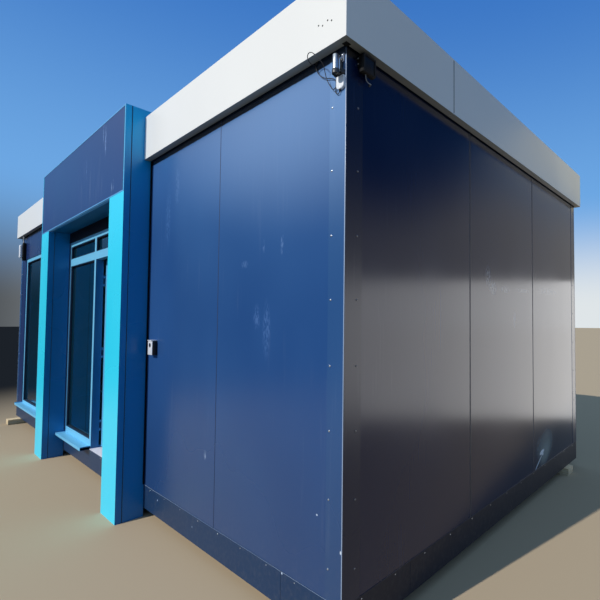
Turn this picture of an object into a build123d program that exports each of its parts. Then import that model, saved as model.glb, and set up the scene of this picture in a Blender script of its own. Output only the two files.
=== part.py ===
from build123d import *
import math
import os

# Portable site cabin with a projecting entrance portal, millimetres, +Z up.
# The front wall faces -Y and the end wall that is seen from the entrance side faces +X.
# The origin is on the ground, at the middle of the space that the cabin takes up.

# Main body
LENGTH = 7600
DEPTH = 3585
WALL_THICKNESS = 100
BEARER_HEIGHT = 75
BASE_HEIGHT = 186
FASCIA_UNDERSIDE = 2857
FASCIA_HEIGHT = 358
FASCIA_OVERHANG = 58
FASCIA_SHEET = 3
FASCIA_FLANGE = 47
FASCIA_JOINT_GAP = 1.5
RIGHT_FASCIA_JOINT = 893
EAVES_GAP = 20
ROOF_THICKNESS = 180
PANEL_JOINT = 3
FRONT_PANEL_WIDTH = 1200
RIGHT_FIRST_JOINT = 1200
RIGHT_SECOND_JOINT = 2340
REAR_PANEL_COUNT = 6
TRIM_LEG = 115
TRIM_SHEET = 2

# Floor
FLOOR_LEVEL = 192
FLOOR_THICKNESS = 22
JOIST_HEIGHT = 100
JOIST_WIDTH = 50
JOIST_COUNT = 12

# Timber bearers under the base
BEARER_WIDTH = 150
BEARER_COUNT = 4
BEARER_INSET = 225
BEARER_SETBACK = 30
LEFT_BEARER_NOSE = 150
PACKER_NOSE = 45
PACKER_LENGTH = 450
PACKER_SETBACK = 270
PACKER_CLEARANCE = 60

# Window and entrance portal, set out from the left-hand corner of the front wall
WINDOW_MARGIN = 360
WINDOW_WIDTH = 1900
WINDOW_TO_PORTAL = 210
PORTAL_WIDTH = 2777
PORTAL_PROJECTION = 200
PORTAL_RISE = 62
PORTAL_SOFFIT = 2566
PORTAL_SHEET = 20
COLUMN_WIDTH = 338

# Entrance glazing and its inward door
FRAME_SETBACK = 10
FRAME_DEPTH = 70
FRAME_BAR = 50
ENTRANCE_HEAD = 2451
TRANSOM_LOW = 2170
TRANSOM_HIGH = 2253
DOOR_BAY_WIDTH = 1059
ENTRANCE_SILL_TOP = 212
SIDE_PANE_GLASS_LOW = 279
SILL_NOSE = 80
SILL_THICKNESS = 20
GLASS_THICKNESS = 20
DOOR_THICKNESS = 50
DOOR_GAP = 6
DOOR_BOTTOM_GAP = 8
DOOR_STILE = 90
DOOR_BOTTOM_RAIL = 150
HINGE_OFFSET = 12
HINGE_RADIUS = 8
HINGE_BARREL = 60
HINGE_KNUCKLE = 25
HINGE_GAP = 0.3
HINGE_PLATE = 60
HINGE_PLATE_THICKNESS = 6
HINGE_END_DISTANCE = 220
HANDLE_RADIUS = 12
HANDLE_LENGTH = 500
HANDLE_STANDOFF = 45
HANDLE_POST_SPACING = 400
HANDLE_HEIGHT = 1050

# Heights of the window
WINDOW_HEAD = 2480
WINDOW_SILL_TOP = 253
WINDOW_BOTTOM_RAIL = 37

# Security camera on the near corner of the front wall
CAMERA_RADIUS = 16
CAMERA_BEZEL_RADIUS = 19
CAMERA_BEZEL_HEIGHT = 23
CAMERA_LENGTH = 98
CAMERA_FROM_CORNER = 26
CAMERA_REACH = 43
CAMERA_DROP = 52
CAMERA_NECK_RADIUS = 7
CAMERA_BASE_HEIGHT = 26
CAMERA_BASE_DEPTH = 22
CAMERA_BASE_START = 6
CAMERA_BASE_WIDTH = 60
CAMERA_BASE_DROP = 112
CAMERA_STRAP_WIDTH = 14
CAMERA_STRAP_DEPTH = 12
CAMERA_PLATE_START = 6
CAMERA_PLATE_WIDTH = 28
CAMERA_PLATE_HEIGHT = 50
CAMERA_PLATE_THICKNESS = 6
CAMERA_PLATE_DROP = 30

# Junction box under the camera
JUNCTION_START = 3
JUNCTION_WIDTH = 51
JUNCTION_HEIGHT = 62.5
JUNCTION_DEPTH = 14
JUNCTION_DROP = 142.5
JUNCTION_ROUND = 16
JUNCTION_TOP_ROUND = 3

# Floodlight on the right end wall
FLOODLIGHT_WIDTH = 91
FLOODLIGHT_HEIGHT = 93
FLOODLIGHT_DEPTH = 36
FLOODLIGHT_DROP = 12
FLOODLIGHT_FROM_CORNER = 69
FLOODLIGHT_STANDOFF = 12
FLOODLIGHT_BRACKET_WIDTH = 36
FLOODLIGHT_BRACKET_HEIGHT = 60

# Cables between the roof edge and the fittings, as drawn by hand from the near corner
CABLE_RADIUS = 2
GLAND_RADIUS = 7
GLAND_LENGTH = 5

# Lamp near the far left corner
LAMP_RADIUS = 21
LAMP_LENGTH = 200
LAMP_HOUSING_DEPTH = 43
LAMP_HOUSING_WIDTH = 70
LAMP_HOUSING_HEIGHT = 275
LAMP_HOUSING_DROP = 112
LAMP_TUBE_OFFSET = 62
LAMP_FROM_CORNER = 295
LAMP_CONDUIT_RADIUS = 9
LAMP_CONDUIT_OFFSET = 30

# Access reader beside the portal
READER_FROM_PORTAL = 122
READER_WIDTH = 86
READER_HEIGHT = 114
READER_DEPTH = 40
READER_BOTTOM = 1248
READER_HOOD = 6
READER_ROUND = 6

# Planes worked out from the sizes above
RIGHT = LENGTH / 2
LEFT = -LENGTH / 2
FRONT = (PORTAL_PROJECTION - DEPTH - FASCIA_OVERHANG) / 2
REAR = FRONT + DEPTH
BASE_LOW = BEARER_HEIGHT
BASE_TOP = BASE_LOW + BASE_HEIGHT
FLOOR_TOP = BASE_LOW + FLOOR_LEVEL
FASCIA_LOW = BASE_LOW + FASCIA_UNDERSIDE
FASCIA_TOP = FASCIA_LOW + FASCIA_HEIGHT
WALL_TOP = FASCIA_LOW + FASCIA_SHEET + EAVES_GAP
ROOF_TOP = WALL_TOP + ROOF_THICKNESS
WALL_INSIDE = FRONT + WALL_THICKNESS

WINDOW_LEFT = LEFT + WINDOW_MARGIN
WINDOW_RIGHT = WINDOW_LEFT + WINDOW_WIDTH
PORTAL_LEFT = WINDOW_RIGHT + WINDOW_TO_PORTAL
PORTAL_RIGHT = PORTAL_LEFT + PORTAL_WIDTH
PORTAL_FRONT = FRONT - PORTAL_PROJECTION
PORTAL_HEAD = FASCIA_TOP + PORTAL_RISE
SOFFIT_LOW = BASE_LOW + PORTAL_SOFFIT
BAY_RIGHT = PORTAL_RIGHT - COLUMN_WIDTH
BAY_LEFT = PORTAL_LEFT + COLUMN_WIDTH

FRAME_FRONT = FRONT + FRAME_SETBACK
FRAME_BACK = FRAME_FRONT + FRAME_DEPTH
FRAME_TOP = BASE_LOW + ENTRANCE_HEAD
DOOR_RIGHT = BAY_RIGHT - FRAME_BAR
DOOR_LEFT = DOOR_RIGHT - DOOR_BAY_WIDTH
MULLION_LEFT = DOOR_LEFT - FRAME_BAR
DOOR_HEAD = BASE_LOW + TRANSOM_LOW
LIGHTS_LOW = BASE_LOW + TRANSOM_HIGH
ENTRANCE_SILL = BASE_LOW + ENTRANCE_SILL_TOP
PANE_LOW = BASE_LOW + SIDE_PANE_GLASS_LOW

WINDOW_MIDDLE = (WINDOW_LEFT + WINDOW_RIGHT) / 2
WINDOW_TOP = BASE_LOW + WINDOW_HEAD
WINDOW_SILL = BASE_LOW + WINDOW_SILL_TOP
WINDOW_GLASS_LOW = WINDOW_SILL + WINDOW_BOTTOM_RAIL

# The door leaf stands open at a right angle, so it runs back from its hinge line
HINGE_X = DOOR_LEFT
HINGE_Y = FRAME_BACK + HINGE_OFFSET
LEAF_INNER = HINGE_X + HINGE_OFFSET
LEAF_OUTER = LEAF_INNER + DOOR_THICKNESS
LEAF_FRONT = HINGE_Y + DOOR_GAP
LEAF_BACK = HINGE_Y + DOOR_BAY_WIDTH - DOOR_GAP
LEAF_LOW = FLOOR_TOP + DOOR_BOTTOM_GAP
LEAF_HIGH = DOOR_HEAD - DOOR_GAP


def block(x_range, y_range, z_range, mode=Mode.ADD):
    """Add one straight block to the part that is open, between pairs of planes."""
    centre = [sum(pair) / 2 for pair in (x_range, y_range, z_range)]
    sizes = [pair[1] - pair[0] for pair in (x_range, y_range, z_range)]
    with Locations(tuple(centre)):
        Box(*sizes, mode=mode)


def rod(start, end, radius):
    """Add one round bar to the part that is open, from one point to another."""
    line = Vector(*end) - Vector(*start)
    with BuildPart(mode=Mode.PRIVATE) as bar:
        with BuildSketch(Plane(origin=start, z_dir=tuple(line))):
            Circle(radius)
        extrude(amount=line.length)
    add(bar.part)


def fascia(corner, along, length, joints=(), mitre_start=1, mitre_end=1):
    """A run of folded roof edge, open towards the roof, with mitred ends and butt joints."""
    plane = Plane(origin=corner, x_dir=along, z_dir=(0, 0, 1))
    bands = (
        (FASCIA_FLANGE, 0, FASCIA_SHEET),
        (FASCIA_SHEET, FASCIA_SHEET, FASCIA_HEIGHT - FASCIA_SHEET),
        (FASCIA_FLANGE, FASCIA_HEIGHT - FASCIA_SHEET, FASCIA_HEIGHT),
    )
    with BuildPart() as run:
        for deep, low, high in bands:
            with BuildSketch(plane.offset(low)):
                with BuildLine():
                    Polyline(
                        (0, 0),
                        (length, 0),
                        (length - mitre_end * deep, deep),
                        (mitre_start * deep, deep),
                        close=True,
                    )
                make_face()
            extrude(amount=high - low)
        for joint in joints:
            with BuildSketch(plane):
                with Locations((joint, FASCIA_FLANGE / 2)):
                    Rectangle(FASCIA_JOINT_GAP, 2 * FASCIA_FLANGE)
            extrude(amount=FASCIA_HEIGHT, mode=Mode.SUBTRACT)
    return run


def portal_column(outer_x, inner_x, inward):
    """A column casing: front sheet, outer side up to the portal top and inner cheek."""
    outer_pair = sorted((outer_x, outer_x + inward * PORTAL_SHEET))
    cheek_pair = sorted((inner_x - inward * PORTAL_SHEET, inner_x))
    front_pair = sorted((outer_x, inner_x))
    with BuildPart() as column:
        block(outer_pair, (PORTAL_FRONT, FRONT), (0, PORTAL_HEAD))
        block(cheek_pair, (PORTAL_FRONT, FRONT), (0, SOFFIT_LOW))
        block(front_pair, (PORTAL_FRONT, PORTAL_FRONT + PORTAL_SHEET), (0, SOFFIT_LOW))
    return column


def cable(points):
    """A round cable along straight runs, joined by arcs as large as the runs allow."""
    corners = [Vector(*point) for point in points]
    radii = []
    for before, corner, after in zip(corners, corners[1:], corners[2:]):
        half_turn = math.radians((corner - before).get_angle(after - corner)) / 2
        shorter = min((corner - before).length, (after - corner).length)
        radii.append(0.45 * shorter / math.tan(half_turn))
    with BuildPart() as tube:
        with BuildLine() as route:
            FilletPolyline(*corners, radius=radii)
        with BuildSketch(Plane(origin=route.line @ 0, z_dir=route.line % 0)):
            Circle(CABLE_RADIUS)
        sweep()
    section = math.pi * CABLE_RADIUS**2
    length = sum(edge.length for edge in route.line.edges())
    print("cable length", round(length, 1), "volume share", round(tube.part.volume / section / length, 4))
    print("cable radii", [round(radius, 1) for radius in radii])
    return tube


def panel_run(start, end, joints):
    """Pairs of edges for flat panels between two walls' ends, with a gap at each joint."""
    edges = [start]
    for joint in joints:
        edges += [joint - PANEL_JOINT / 2, joint + PANEL_JOINT / 2]
    edges.append(end)
    return list(zip(edges[0::2], edges[1::2]))


# Timber bearers, laid across under the base, and one packer at the rear right corner
bearer_span = LENGTH - 2 * BEARER_INSET - BEARER_WIDTH
bearer_pitch = bearer_span / (BEARER_COUNT - 1)
packer_front = REAR - PACKER_SETBACK - BEARER_WIDTH
with BuildPart() as timber_bearers:
    for place in range(BEARER_COUNT):
        left_side = LEFT + BEARER_INSET + place * bearer_pitch
        nose = -LEFT_BEARER_NOSE if place == 0 else BEARER_SETBACK
        tail = packer_front - PACKER_CLEARANCE if place == BEARER_COUNT - 1 else REAR - BEARER_SETBACK
        block((left_side, left_side + BEARER_WIDTH), (FRONT + nose, tail), (0, BEARER_HEIGHT))
    block(
        (RIGHT + PACKER_NOSE - PACKER_LENGTH, RIGHT + PACKER_NOSE),
        (packer_front, packer_front + BEARER_WIDTH),
        (0, BEARER_HEIGHT),
    )
timber_bearers.part.label = "timber_bearers"

# Base: long rails front and rear, short rails between them, joists and deck
with BuildPart() as base_rails:
    inner_front = FRONT + WALL_THICKNESS
    inner_rear = REAR - WALL_THICKNESS
    block((LEFT, RIGHT), (FRONT, inner_front), (BASE_LOW, BASE_TOP))
    block((LEFT, RIGHT), (inner_rear, REAR), (BASE_LOW, BASE_TOP))
    for x_pair in ((LEFT, LEFT + WALL_THICKNESS), (RIGHT - WALL_THICKNESS, RIGHT)):
        block(x_pair, (inner_front, inner_rear), (BASE_LOW, BASE_TOP))
base_rails.part.label = "base_rails"

joist_top = FLOOR_TOP - FLOOR_THICKNESS
joist_pitch = (LENGTH - 2 * WALL_THICKNESS - JOIST_WIDTH) / (JOIST_COUNT + 1)
with BuildPart() as floor_joists:
    for place in range(1, JOIST_COUNT + 1):
        left_side = LEFT + WALL_THICKNESS + place * joist_pitch
        block(
            (left_side, left_side + JOIST_WIDTH),
            (FRONT + WALL_THICKNESS, REAR - WALL_THICKNESS),
            (joist_top - JOIST_HEIGHT, joist_top),
        )
floor_joists.part.label = "floor_joists"

with BuildPart() as floor_deck:
    block(
        (LEFT + WALL_THICKNESS, RIGHT - WALL_THICKNESS),
        (FRONT + WALL_THICKNESS, REAR - WALL_THICKNESS),
        (joist_top, FLOOR_TOP),
    )
floor_deck.part.label = "floor_deck"

# Front wall: the panels beside, under and over its two openings
front_y = (FRONT, WALL_INSIDE)
full_height = (BASE_TOP, WALL_TOP)
first_joint = RIGHT - FRONT_PANEL_WIDTH
with BuildPart() as front_wall_panel_1:
    block((first_joint + PANEL_JOINT / 2, RIGHT), front_y, full_height)
front_wall_panel_1.part.label = "front_wall_panel_1"

with BuildPart() as front_wall_panel_2:
    block((BAY_RIGHT, first_joint - PANEL_JOINT / 2), front_y, full_height)
front_wall_panel_2.part.label = "front_wall_panel_2"

with BuildPart() as front_wall_over_entrance:
    block((BAY_LEFT, BAY_RIGHT), front_y, (FRAME_TOP, WALL_TOP))
front_wall_over_entrance.part.label = "front_wall_over_entrance"

with BuildPart() as front_wall_panel_3:
    block((WINDOW_RIGHT, BAY_LEFT), front_y, full_height)
front_wall_panel_3.part.label = "front_wall_panel_3"

with BuildPart() as front_wall_under_window:
    block((WINDOW_LEFT, WINDOW_RIGHT), front_y, (BASE_TOP, WINDOW_SILL - SILL_THICKNESS))
front_wall_under_window.part.label = "front_wall_under_window"

with BuildPart() as front_wall_over_window:
    block((WINDOW_LEFT, WINDOW_RIGHT), front_y, (WINDOW_TOP, WALL_TOP))
front_wall_over_window.part.label = "front_wall_over_window"

with BuildPart() as front_wall_panel_4:
    block((LEFT, WINDOW_LEFT), front_y, full_height)
front_wall_panel_4.part.label = "front_wall_panel_4"

# Right end wall, three panels between the front and the rear wall
right_joints = (FRONT + RIGHT_FIRST_JOINT, FRONT + RIGHT_SECOND_JOINT)
right_edges = panel_run(WALL_INSIDE, REAR - WALL_THICKNESS, right_joints)
right_wall_panels = []
for number, y_pair in enumerate(right_edges, start=1):
    with BuildPart() as right_wall_panel:
        block((RIGHT - WALL_THICKNESS, RIGHT), y_pair, full_height)
    right_wall_panel.part.label = f"right_wall_panel_{number}"
    right_wall_panels.append(right_wall_panel)

# Left end wall, the same three panels on the unseen side
with BuildPart() as left_wall_panels:
    for y_pair in right_edges:
        block((LEFT, LEFT + WALL_THICKNESS), y_pair, full_height)
left_wall_panels.part.label = "left_wall_panels"

# Rear wall, equal panels over the whole length
rear_pitch = LENGTH / REAR_PANEL_COUNT
rear_joints = [LEFT + place * rear_pitch for place in range(1, REAR_PANEL_COUNT)]
with BuildPart() as rear_wall_panels:
    for x_pair in panel_run(LEFT, RIGHT, rear_joints):
        block(x_pair, (REAR - WALL_THICKNESS, REAR), full_height)
rear_wall_panels.part.label = "rear_wall_panels"

# Corner trims: a thin folded angle on each corner of the walls
with BuildPart() as corner_trims:
    for corner_x, side_x in ((RIGHT, 1), (LEFT, -1)):
        for corner_y, side_y in ((FRONT, -1), (REAR, 1)):
            out_x = corner_x + side_x * TRIM_SHEET
            out_y = corner_y + side_y * TRIM_SHEET
            leg_x = corner_x - side_x * TRIM_LEG
            leg_y = corner_y - side_y * TRIM_LEG
            with BuildSketch(Plane.XY.offset(BASE_TOP)):
                with BuildLine():
                    Polyline(
                        (out_x, out_y),
                        (out_x, leg_y),
                        (corner_x, leg_y),
                        (corner_x, corner_y),
                        (leg_x, corner_y),
                        (leg_x, out_y),
                        close=True,
                    )
                make_face()
            extrude(amount=WALL_TOP - BASE_TOP)
corner_trims.part.label = "corner_trims"

# Roof deck, out to the inside of the fascia and cut back behind the portal
roof_reach = FASCIA_OVERHANG - FASCIA_SHEET
with BuildPart() as roof_deck:
    block(
        (LEFT - roof_reach, RIGHT + roof_reach),
        (FRONT - roof_reach, REAR + roof_reach),
        (WALL_TOP, ROOF_TOP),
    )
    block(
        (PORTAL_LEFT, PORTAL_RIGHT),
        (FRONT - 2 * roof_reach, FRONT),
        (WALL_TOP, ROOF_TOP),
        mode=Mode.SUBTRACT,
    )
roof_deck.part.label = "roof_deck"

# Fascia, run by run round the roof
fascia_left = LEFT - FASCIA_OVERHANG
fascia_right = RIGHT + FASCIA_OVERHANG
fascia_front = FRONT - FASCIA_OVERHANG
fascia_rear = REAR + FASCIA_OVERHANG
fascia_depth = fascia_rear - fascia_front
fascia_width = fascia_right - fascia_left
right_fascia = fascia(
    (fascia_right, fascia_front, FASCIA_LOW),
    (0, 1, 0),
    fascia_depth,
    joints=(FASCIA_OVERHANG + RIGHT_FASCIA_JOINT,),
)
right_fascia.part.label = "right_fascia"

rear_fascia = fascia(
    (fascia_right, fascia_rear, FASCIA_LOW),
    (-1, 0, 0),
    fascia_width,
    joints=(fascia_width / 3, 2 * fascia_width / 3),
)
rear_fascia.part.label = "rear_fascia"

left_fascia = fascia(
    (fascia_left, fascia_rear, FASCIA_LOW),
    (0, -1, 0),
    fascia_depth,
    joints=(fascia_depth - FASCIA_OVERHANG - RIGHT_FASCIA_JOINT,),
)
left_fascia.part.label = "left_fascia"

front_fascia_left = fascia(
    (fascia_left, fascia_front, FASCIA_LOW),
    (1, 0, 0),
    PORTAL_LEFT - fascia_left,
    mitre_end=0,
)
front_fascia_left.part.label = "front_fascia_left"

front_fascia_right = fascia(
    (PORTAL_RIGHT, fascia_front, FASCIA_LOW),
    (1, 0, 0),
    fascia_right - PORTAL_RIGHT,
    mitre_start=0,
)
front_fascia_right.part.label = "front_fascia_right"

# Entrance portal: two hollow columns down to the ground, and the head between them
portal_right_column = portal_column(PORTAL_RIGHT, BAY_RIGHT, -1)
portal_right_column.part.label = "portal_right_column"
portal_left_column = portal_column(PORTAL_LEFT, BAY_LEFT, 1)
portal_left_column.part.label = "portal_left_column"

head_x = (PORTAL_LEFT + PORTAL_SHEET, PORTAL_RIGHT - PORTAL_SHEET)
head_inside_y = (PORTAL_FRONT + PORTAL_SHEET, FRONT)
with BuildPart() as portal_header:
    block(head_x, (PORTAL_FRONT, PORTAL_FRONT + PORTAL_SHEET), (SOFFIT_LOW, PORTAL_HEAD))
portal_header.part.label = "portal_header"

with BuildPart() as portal_soffit:
    block(head_x, head_inside_y, (SOFFIT_LOW, SOFFIT_LOW + PORTAL_SHEET))
portal_soffit.part.label = "portal_soffit"

with BuildPart() as portal_cap:
    block(head_x, head_inside_y, (PORTAL_HEAD - PORTAL_SHEET, PORTAL_HEAD))
    block(head_x, (FRONT - PORTAL_SHEET, FRONT), (WALL_TOP, PORTAL_HEAD))
portal_cap.part.label = "portal_cap"

# Entrance glazing: one welded frame with a side pane, two top lights and a doorway
frame_y = (FRAME_FRONT, FRAME_BACK)
hinge_levels = (
    LEAF_LOW + HINGE_END_DISTANCE,
    (LEAF_LOW + LEAF_HIGH) / 2,
    LEAF_HIGH - HINGE_END_DISTANCE,
)
knuckle_start = HINGE_BARREL / 2 + HINGE_GAP
with BuildPart() as entrance_frame:
    block((BAY_LEFT, BAY_LEFT + FRAME_BAR), frame_y, (ENTRANCE_SILL, FRAME_TOP))
    block((MULLION_LEFT, DOOR_LEFT), frame_y, (ENTRANCE_SILL, FRAME_TOP))
    block((DOOR_RIGHT, BAY_RIGHT), frame_y, (FLOOR_TOP, FRAME_TOP))
    block((BAY_LEFT, BAY_RIGHT), frame_y, (FRAME_TOP - FRAME_BAR, FRAME_TOP))
    block((BAY_LEFT, BAY_RIGHT), frame_y, (DOOR_HEAD, LIGHTS_LOW))
    block((BAY_LEFT, MULLION_LEFT), frame_y, (ENTRANCE_SILL, PANE_LOW))
    for level in hinge_levels:
        for side in (-1, 1):
            ends = sorted((level + side * knuckle_start, level + side * (knuckle_start + HINGE_KNUCKLE)))
            rod((HINGE_X, HINGE_Y, ends[0]), (HINGE_X, HINGE_Y, ends[1]), HINGE_RADIUS)
            block(
                (HINGE_X - FRAME_BAR, HINGE_X),
                (FRAME_BACK, FRAME_BACK + HINGE_PLATE_THICKNESS),
                ends,
            )
entrance_frame.part.label = "entrance_frame"

glass_middle = (FRAME_FRONT + FRAME_BACK) / 2
glass_y = (glass_middle - GLASS_THICKNESS / 2, glass_middle + GLASS_THICKNESS / 2)
side_pane_x = (BAY_LEFT + FRAME_BAR, MULLION_LEFT)
with BuildPart() as entrance_glass:
    block(side_pane_x, glass_y, (PANE_LOW, DOOR_HEAD))
    for x_pair in (side_pane_x, (DOOR_LEFT, DOOR_RIGHT)):
        block(x_pair, glass_y, (LIGHTS_LOW, FRAME_TOP - FRAME_BAR))
entrance_glass.part.label = "entrance_glass"

with BuildPart() as entrance_sill:
    block((BAY_LEFT, DOOR_LEFT), (FRONT - SILL_NOSE, WALL_INSIDE), (BASE_TOP, ENTRANCE_SILL))
entrance_sill.part.label = "entrance_sill"

with BuildPart() as door_threshold:
    block((DOOR_LEFT, BAY_RIGHT), front_y, (BASE_TOP, FLOOR_TOP))
door_threshold.part.label = "door_threshold"

# Door leaf, standing open: its outer face looks along +X
leaf_x = (LEAF_INNER, LEAF_OUTER)
with BuildPart() as door_leaf:
    block(leaf_x, (LEAF_FRONT, LEAF_BACK), (LEAF_LOW, LEAF_HIGH))
    block(
        leaf_x,
        (LEAF_FRONT + DOOR_STILE, LEAF_BACK - DOOR_STILE),
        (LEAF_LOW + DOOR_BOTTOM_RAIL, LEAF_HIGH - DOOR_STILE),
        mode=Mode.SUBTRACT,
    )
door_leaf.part.label = "door_leaf"

leaf_middle = (LEAF_INNER + LEAF_OUTER) / 2
with BuildPart() as door_glass:
    block(
        (leaf_middle - GLASS_THICKNESS / 2, leaf_middle + GLASS_THICKNESS / 2),
        (LEAF_FRONT + DOOR_STILE, LEAF_BACK - DOOR_STILE),
        (LEAF_LOW + DOOR_BOTTOM_RAIL, LEAF_HIGH - DOOR_STILE),
    )
door_glass.part.label = "door_glass"

handle_y = LEAF_BACK - DOOR_STILE / 2
handle_middle = BASE_LOW + HANDLE_HEIGHT
with BuildPart() as door_handle:
    for side in (-1, 1):
        face = LEAF_OUTER if side > 0 else LEAF_INNER
        bar_x = face + side * HANDLE_STANDOFF
        rod(
            (bar_x, handle_y, handle_middle - HANDLE_LENGTH / 2),
            (bar_x, handle_y, handle_middle + HANDLE_LENGTH / 2),
            HANDLE_RADIUS,
        )
        for end in (-1, 1):
            post_z = handle_middle + end * HANDLE_POST_SPACING / 2
            rod((face, handle_y, post_z), (bar_x, handle_y, post_z), HANDLE_RADIUS / 2)
door_handle.part.label = "door_handle"

with BuildPart() as door_hinges:
    for level in hinge_levels:
        ends = (level - HINGE_BARREL / 2, level + HINGE_BARREL / 2)
        rod((HINGE_X, HINGE_Y, ends[0]), (HINGE_X, HINGE_Y, ends[1]), HINGE_RADIUS)
        block(
            (LEAF_INNER - HINGE_PLATE_THICKNESS, LEAF_INNER),
            (HINGE_Y, HINGE_Y + HINGE_PLATE),
            ends,
        )
door_hinges.part.label = "door_hinges"

# Window: frame with a middle mullion, two panes and a projecting sill
with BuildPart() as window_frame:
    block((WINDOW_LEFT, WINDOW_RIGHT), frame_y, (WINDOW_SILL, WINDOW_TOP))
    for x_pair in (
        (WINDOW_LEFT + FRAME_BAR, WINDOW_MIDDLE - FRAME_BAR / 2),
        (WINDOW_MIDDLE + FRAME_BAR / 2, WINDOW_RIGHT - FRAME_BAR),
    ):
        block(x_pair, frame_y, (WINDOW_GLASS_LOW, WINDOW_TOP - FRAME_BAR), mode=Mode.SUBTRACT)
window_frame.part.label = "window_frame"

with BuildPart() as window_glass:
    for x_pair in (
        (WINDOW_LEFT + FRAME_BAR, WINDOW_MIDDLE - FRAME_BAR / 2),
        (WINDOW_MIDDLE + FRAME_BAR / 2, WINDOW_RIGHT - FRAME_BAR),
    ):
        block(x_pair, glass_y, (WINDOW_GLASS_LOW, WINDOW_TOP - FRAME_BAR))
window_glass.part.label = "window_glass"

with BuildPart() as window_sill:
    block(
        (WINDOW_LEFT, WINDOW_RIGHT),
        (FRONT - SILL_NOSE, WALL_INSIDE),
        (WINDOW_SILL - SILL_THICKNESS, WINDOW_SILL),
    )
window_sill.part.label = "window_sill"

# Security camera under the near corner of the roof edge: barrel, neck, base, strap and plate
trim_face = FRONT - TRIM_SHEET
camera_x = RIGHT - CAMERA_FROM_CORNER
camera_y = trim_face - CAMERA_REACH
camera_top = FASCIA_LOW - CAMERA_DROP
camera_bottom = camera_top - CAMERA_LENGTH
base_right = RIGHT - CAMERA_BASE_START
base_high = FASCIA_LOW - CAMERA_BASE_DROP
base_low = base_high - CAMERA_BASE_HEIGHT
neck_z = (base_low + base_high) / 2
plate_right = RIGHT - CAMERA_PLATE_START
plate_high = FASCIA_LOW - CAMERA_PLATE_DROP
strap_middle = plate_right - CAMERA_PLATE_WIDTH / 2
with BuildPart() as security_camera:
    rod((camera_x, camera_y, camera_bottom), (camera_x, camera_y, camera_top), CAMERA_RADIUS)
    rod(
        (camera_x, camera_y, camera_bottom),
        (camera_x, camera_y, camera_bottom + CAMERA_BEZEL_HEIGHT),
        CAMERA_BEZEL_RADIUS,
    )
    rod((camera_x, trim_face, neck_z), (camera_x, camera_y, neck_z), CAMERA_NECK_RADIUS)
    block(
        (base_right - CAMERA_BASE_WIDTH, base_right),
        (trim_face - CAMERA_BASE_DEPTH, trim_face),
        (base_low, base_high),
    )
    block(
        (strap_middle - CAMERA_STRAP_WIDTH / 2, strap_middle + CAMERA_STRAP_WIDTH / 2),
        (trim_face - CAMERA_STRAP_DEPTH, trim_face),
        (base_high, plate_high - CAMERA_PLATE_HEIGHT / 2),
    )
    block(
        (plate_right - CAMERA_PLATE_WIDTH, plate_right),
        (trim_face - CAMERA_PLATE_THICKNESS, trim_face),
        (plate_high - CAMERA_PLATE_HEIGHT, plate_high),
    )
security_camera.part.label = "security_camera"

junction_right = RIGHT - JUNCTION_START
junction_left = junction_right - JUNCTION_WIDTH
junction_high = FASCIA_LOW - JUNCTION_DROP
junction_low = junction_high - JUNCTION_HEIGHT
with BuildPart() as junction_box:
    block(
        (junction_left, junction_right),
        (trim_face - JUNCTION_DEPTH, trim_face),
        (junction_low, junction_high),
    )
    upright_edges = junction_box.edges().filter_by(Axis.Y).sort_by(Axis.Z)
    fillet(upright_edges[:2], JUNCTION_ROUND)
    fillet(junction_box.edges().filter_by(Axis.Y).sort_by(Axis.Z)[-2:], JUNCTION_TOP_ROUND)
junction_box.part.label = "junction_box"

# Floodlight on the right end wall, close under the roof edge, held off the corner trim
trim_side = RIGHT + TRIM_SHEET
flood_top = FASCIA_LOW - FLOODLIGHT_DROP
flood_y = FRONT + FLOODLIGHT_FROM_CORNER
flood_low = flood_top - FLOODLIGHT_HEIGHT
with BuildPart() as floodlight:
    block(
        (trim_side + FLOODLIGHT_STANDOFF, trim_side + FLOODLIGHT_STANDOFF + FLOODLIGHT_DEPTH),
        (flood_y, flood_y + FLOODLIGHT_WIDTH),
        (flood_low, flood_top),
    )
    block(
        (trim_side, trim_side + FLOODLIGHT_STANDOFF),
        (flood_y, flood_y + FLOODLIGHT_BRACKET_WIDTH),
        (flood_top - FLOODLIGHT_BRACKET_HEIGHT, flood_top),
    )
floodlight.part.label = "floodlight"

# Cables. Their points are offsets from the near corner of the walls at the fascia's underside.
NEAR_CORNER = Vector(RIGHT, FRONT, FASCIA_LOW)


def from_corner(offsets):
    """Points in the cabin's frame from offsets to the near corner under the roof edge."""
    return [NEAR_CORNER + Vector(*offset) for offset in offsets]


# Out of the slot behind the fascia, once round its lower edge, and down to the camera's base
camera_cable = cable(
    from_corner(
        [
            (-210, -5.5, 23),
            (-210, -5.5, -3),
            (-211, -13, -17),
            (-212, -29, -26),
            (-214, -46, -25),
            (-214, -60, -18),
            (-211, -70, -6),
            (-201, -76, 3),
            (-186, -78, 6),
            (-168, -77, 0),
            (-149, -71, -17),
            (-134, -61, -40),
            (-122, -48, -56),
            (-120, -37, -75),
            (-124, -28, -97),
            (-120, -21, -126),
            (-108, -16, -155),
            (-94, -14, -176),
            (-85, -14, -188),
            (-77, -14.5, -193.5),
            (-68, -14.5, -194),
            (-61, -13.5, -188.5),
            (-59, -11, -180),
            (-58.5, -8.5, -170),
            (-59.5, -7, -157),
            (-59.5, -7, -138),
        ]
    )
)
camera_cable.part.label = "camera_cable"

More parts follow.
